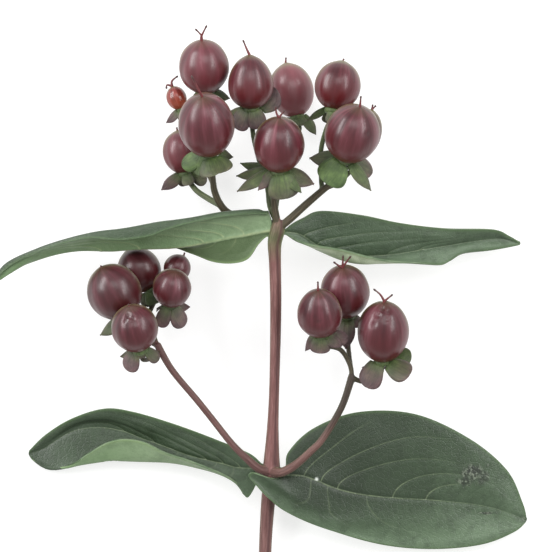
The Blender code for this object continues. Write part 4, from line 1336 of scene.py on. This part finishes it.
def build_stem(bm):
    layers = layers_on(bm, ("brown", "green", "groove"), ("fibre",))
    stations = stations_of(routes)
    centres = np.array([place for place, *_ in stations])
    radii = np.array([radius for _, radius, *_ in stations])
    for vert in bm.verts:
        gap = np.linalg.norm(centres - np.array(vert.co), axis=1) - radii
        place, radius, ahead, travelled, kind = stations[int(gap.argmin())]
        across = Vector((0, 0, 1)) - ahead * ahead.z
        across.normalize()
        off = vert.co - place
        turn = math.atan2(off.dot(ahead.cross(across)), off.dot(across))
        along = travelled + off.dot(ahead)
        vert[layers["fibre"]] = (math.cos(turn) * 1.5, math.sin(turn) * 1.5, along * 90)
        brown, green = bark_tones(kind, vert.co)
        deep = math.exp(-((turn - GROOVE_TURN) / GROOVE_WIDTH) ** 2) if kind == "trunk" else 0.0
        vert[layers["brown"]] = brown
        vert[layers["green"]] = min(1.0, green + 0.35 * abs(math.sin(turn)) ** 6)
        vert[layers["groove"]] = 0.8 * deep
        vert.co -= off.normalized() * (GROOVE_DEPTH * deep)
    piece = object_from(bm, "stem_wood", [BARK])
    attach(piece, "root")
    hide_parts("stem")
    print("stem faces:", len(piece.data.polygons))


build_stem(wood)

# %% [markdown]
# ## Floor, light and camera
#
# The stem lies on a white table and is lit like a catalogue picture: a bright even surround for
# soft shadows, a wide softbox overhead, and two tall softboxes low on either side, whose reflections
# are the long pale streaks on the berries. The camera looks straight down from far off, so that
# nothing leans.

# %% Floor
FLOOR_SIZE = 24.0
FLOOR_DROP = 0.0001
TABLE_GLOW = 0.66
WHITE = (1.0, 1.0, 1.0, 1.0)


def floor_finish():
    table = Finish("white table", 0.9, specular=0.1)
    table.colour(table.ramp(table.noise(table.place(), scale=3.0), [(0.0, "A8A8A7"), (1.0, "AEAEAE")]))
    table.shader.inputs["Emission Color"].default_value = WHITE
    table.shader.inputs["Emission Strength"].default_value = TABLE_GLOW
    return table.material


floor_mesh = bmesh.new()
bmesh.ops.create_grid(floor_mesh, x_segments=1, y_segments=1, size=FLOOR_SIZE / 2)
bmesh.ops.translate(floor_mesh, verts=floor_mesh.verts, vec=(0, 0, -FLOOR_DROP))
floor = object_from(floor_mesh, "table_top", [floor_finish()], smooth=False)
if floor.data.polygons[0].normal.z < 0:
    floor.data.flip_normals()
floor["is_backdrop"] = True
print("floor:", FLOOR_SIZE, "m wide")

# %% Light
SURROUND = 0.62
world = bpy.data.worlds.new("studio")
world.use_nodes = True
backdrop = world.node_tree.nodes["Background"]
backdrop.inputs["Color"].default_value = WHITE
backdrop.inputs["Strength"].default_value = SURROUND
bpy.context.scene.world = world
bpy.context.scene.view_settings.view_transform = "Standard"


def softbox(name, direction, distance, wide, tall, power):
    """A rectangular lamp that faces the middle of the scene from the given direction."""
    lamp = bpy.data.lights.new(name, "AREA")
    lamp.shape = "RECTANGLE"
    lamp.size = wide
    lamp.size_y = tall
    lamp.energy = power
    box = bpy.data.objects.new(name, lamp)
    aim = Vector(direction).normalized()
    box.location = aim * distance
    upright = (Vector((0, 1, 0)) - aim * aim.y).normalized()
    box.rotation_euler = Matrix((upright.cross(aim), upright, aim)).transposed().to_euler()
    bpy.context.scene.collection.objects.link(box)


softbox("left softbox", (-0.72, 0.40, 0.52), 0.6, 0.14, 0.55, 3.4)
softbox("right softbox", (0.68, 0.30, 0.66), 0.6, 0.12, 0.55, 2.2)
softbox("overhead softbox", (0.05, 0.45, 0.88), 0.7, 0.45, 0.30, 1.3)
print("lights:", len(bpy.data.lights))

# %% Camera
CAMERA_DISTANCE = 4.0
MIDDLE_HEIGHT = 12.0
SENSOR = 36.0
lens = bpy.data.cameras.new("camera")
lens.sensor_width = SENSOR
lens.lens = SENSOR * CAMERA_DISTANCE / DRAWING_WIDTH
lens.clip_end = 100.0
camera = bpy.data.objects.new("camera", lens)
drawing_middle = at(DRAWING_STEPS / 2, DRAWING_STEPS / 2, MIDDLE_HEIGHT)
camera.location = drawing_middle + Vector((0, 0, CAMERA_DISTANCE))
bpy.context.scene.collection.objects.link(camera)
bpy.context.scene.camera = camera
print("lens", round(lens.lens, 1), "mm")

# %% Print the sizes and finish
dressed_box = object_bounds()
boxes = {"cad": [list(corner) for corner in cad_box], "visual": [list(corner) for corner in dressed_box]}
for one, two in zip(*boxes.values()):
    print([round(value / MM, 2) for value in one], [round(value / MM, 2) for value in two])
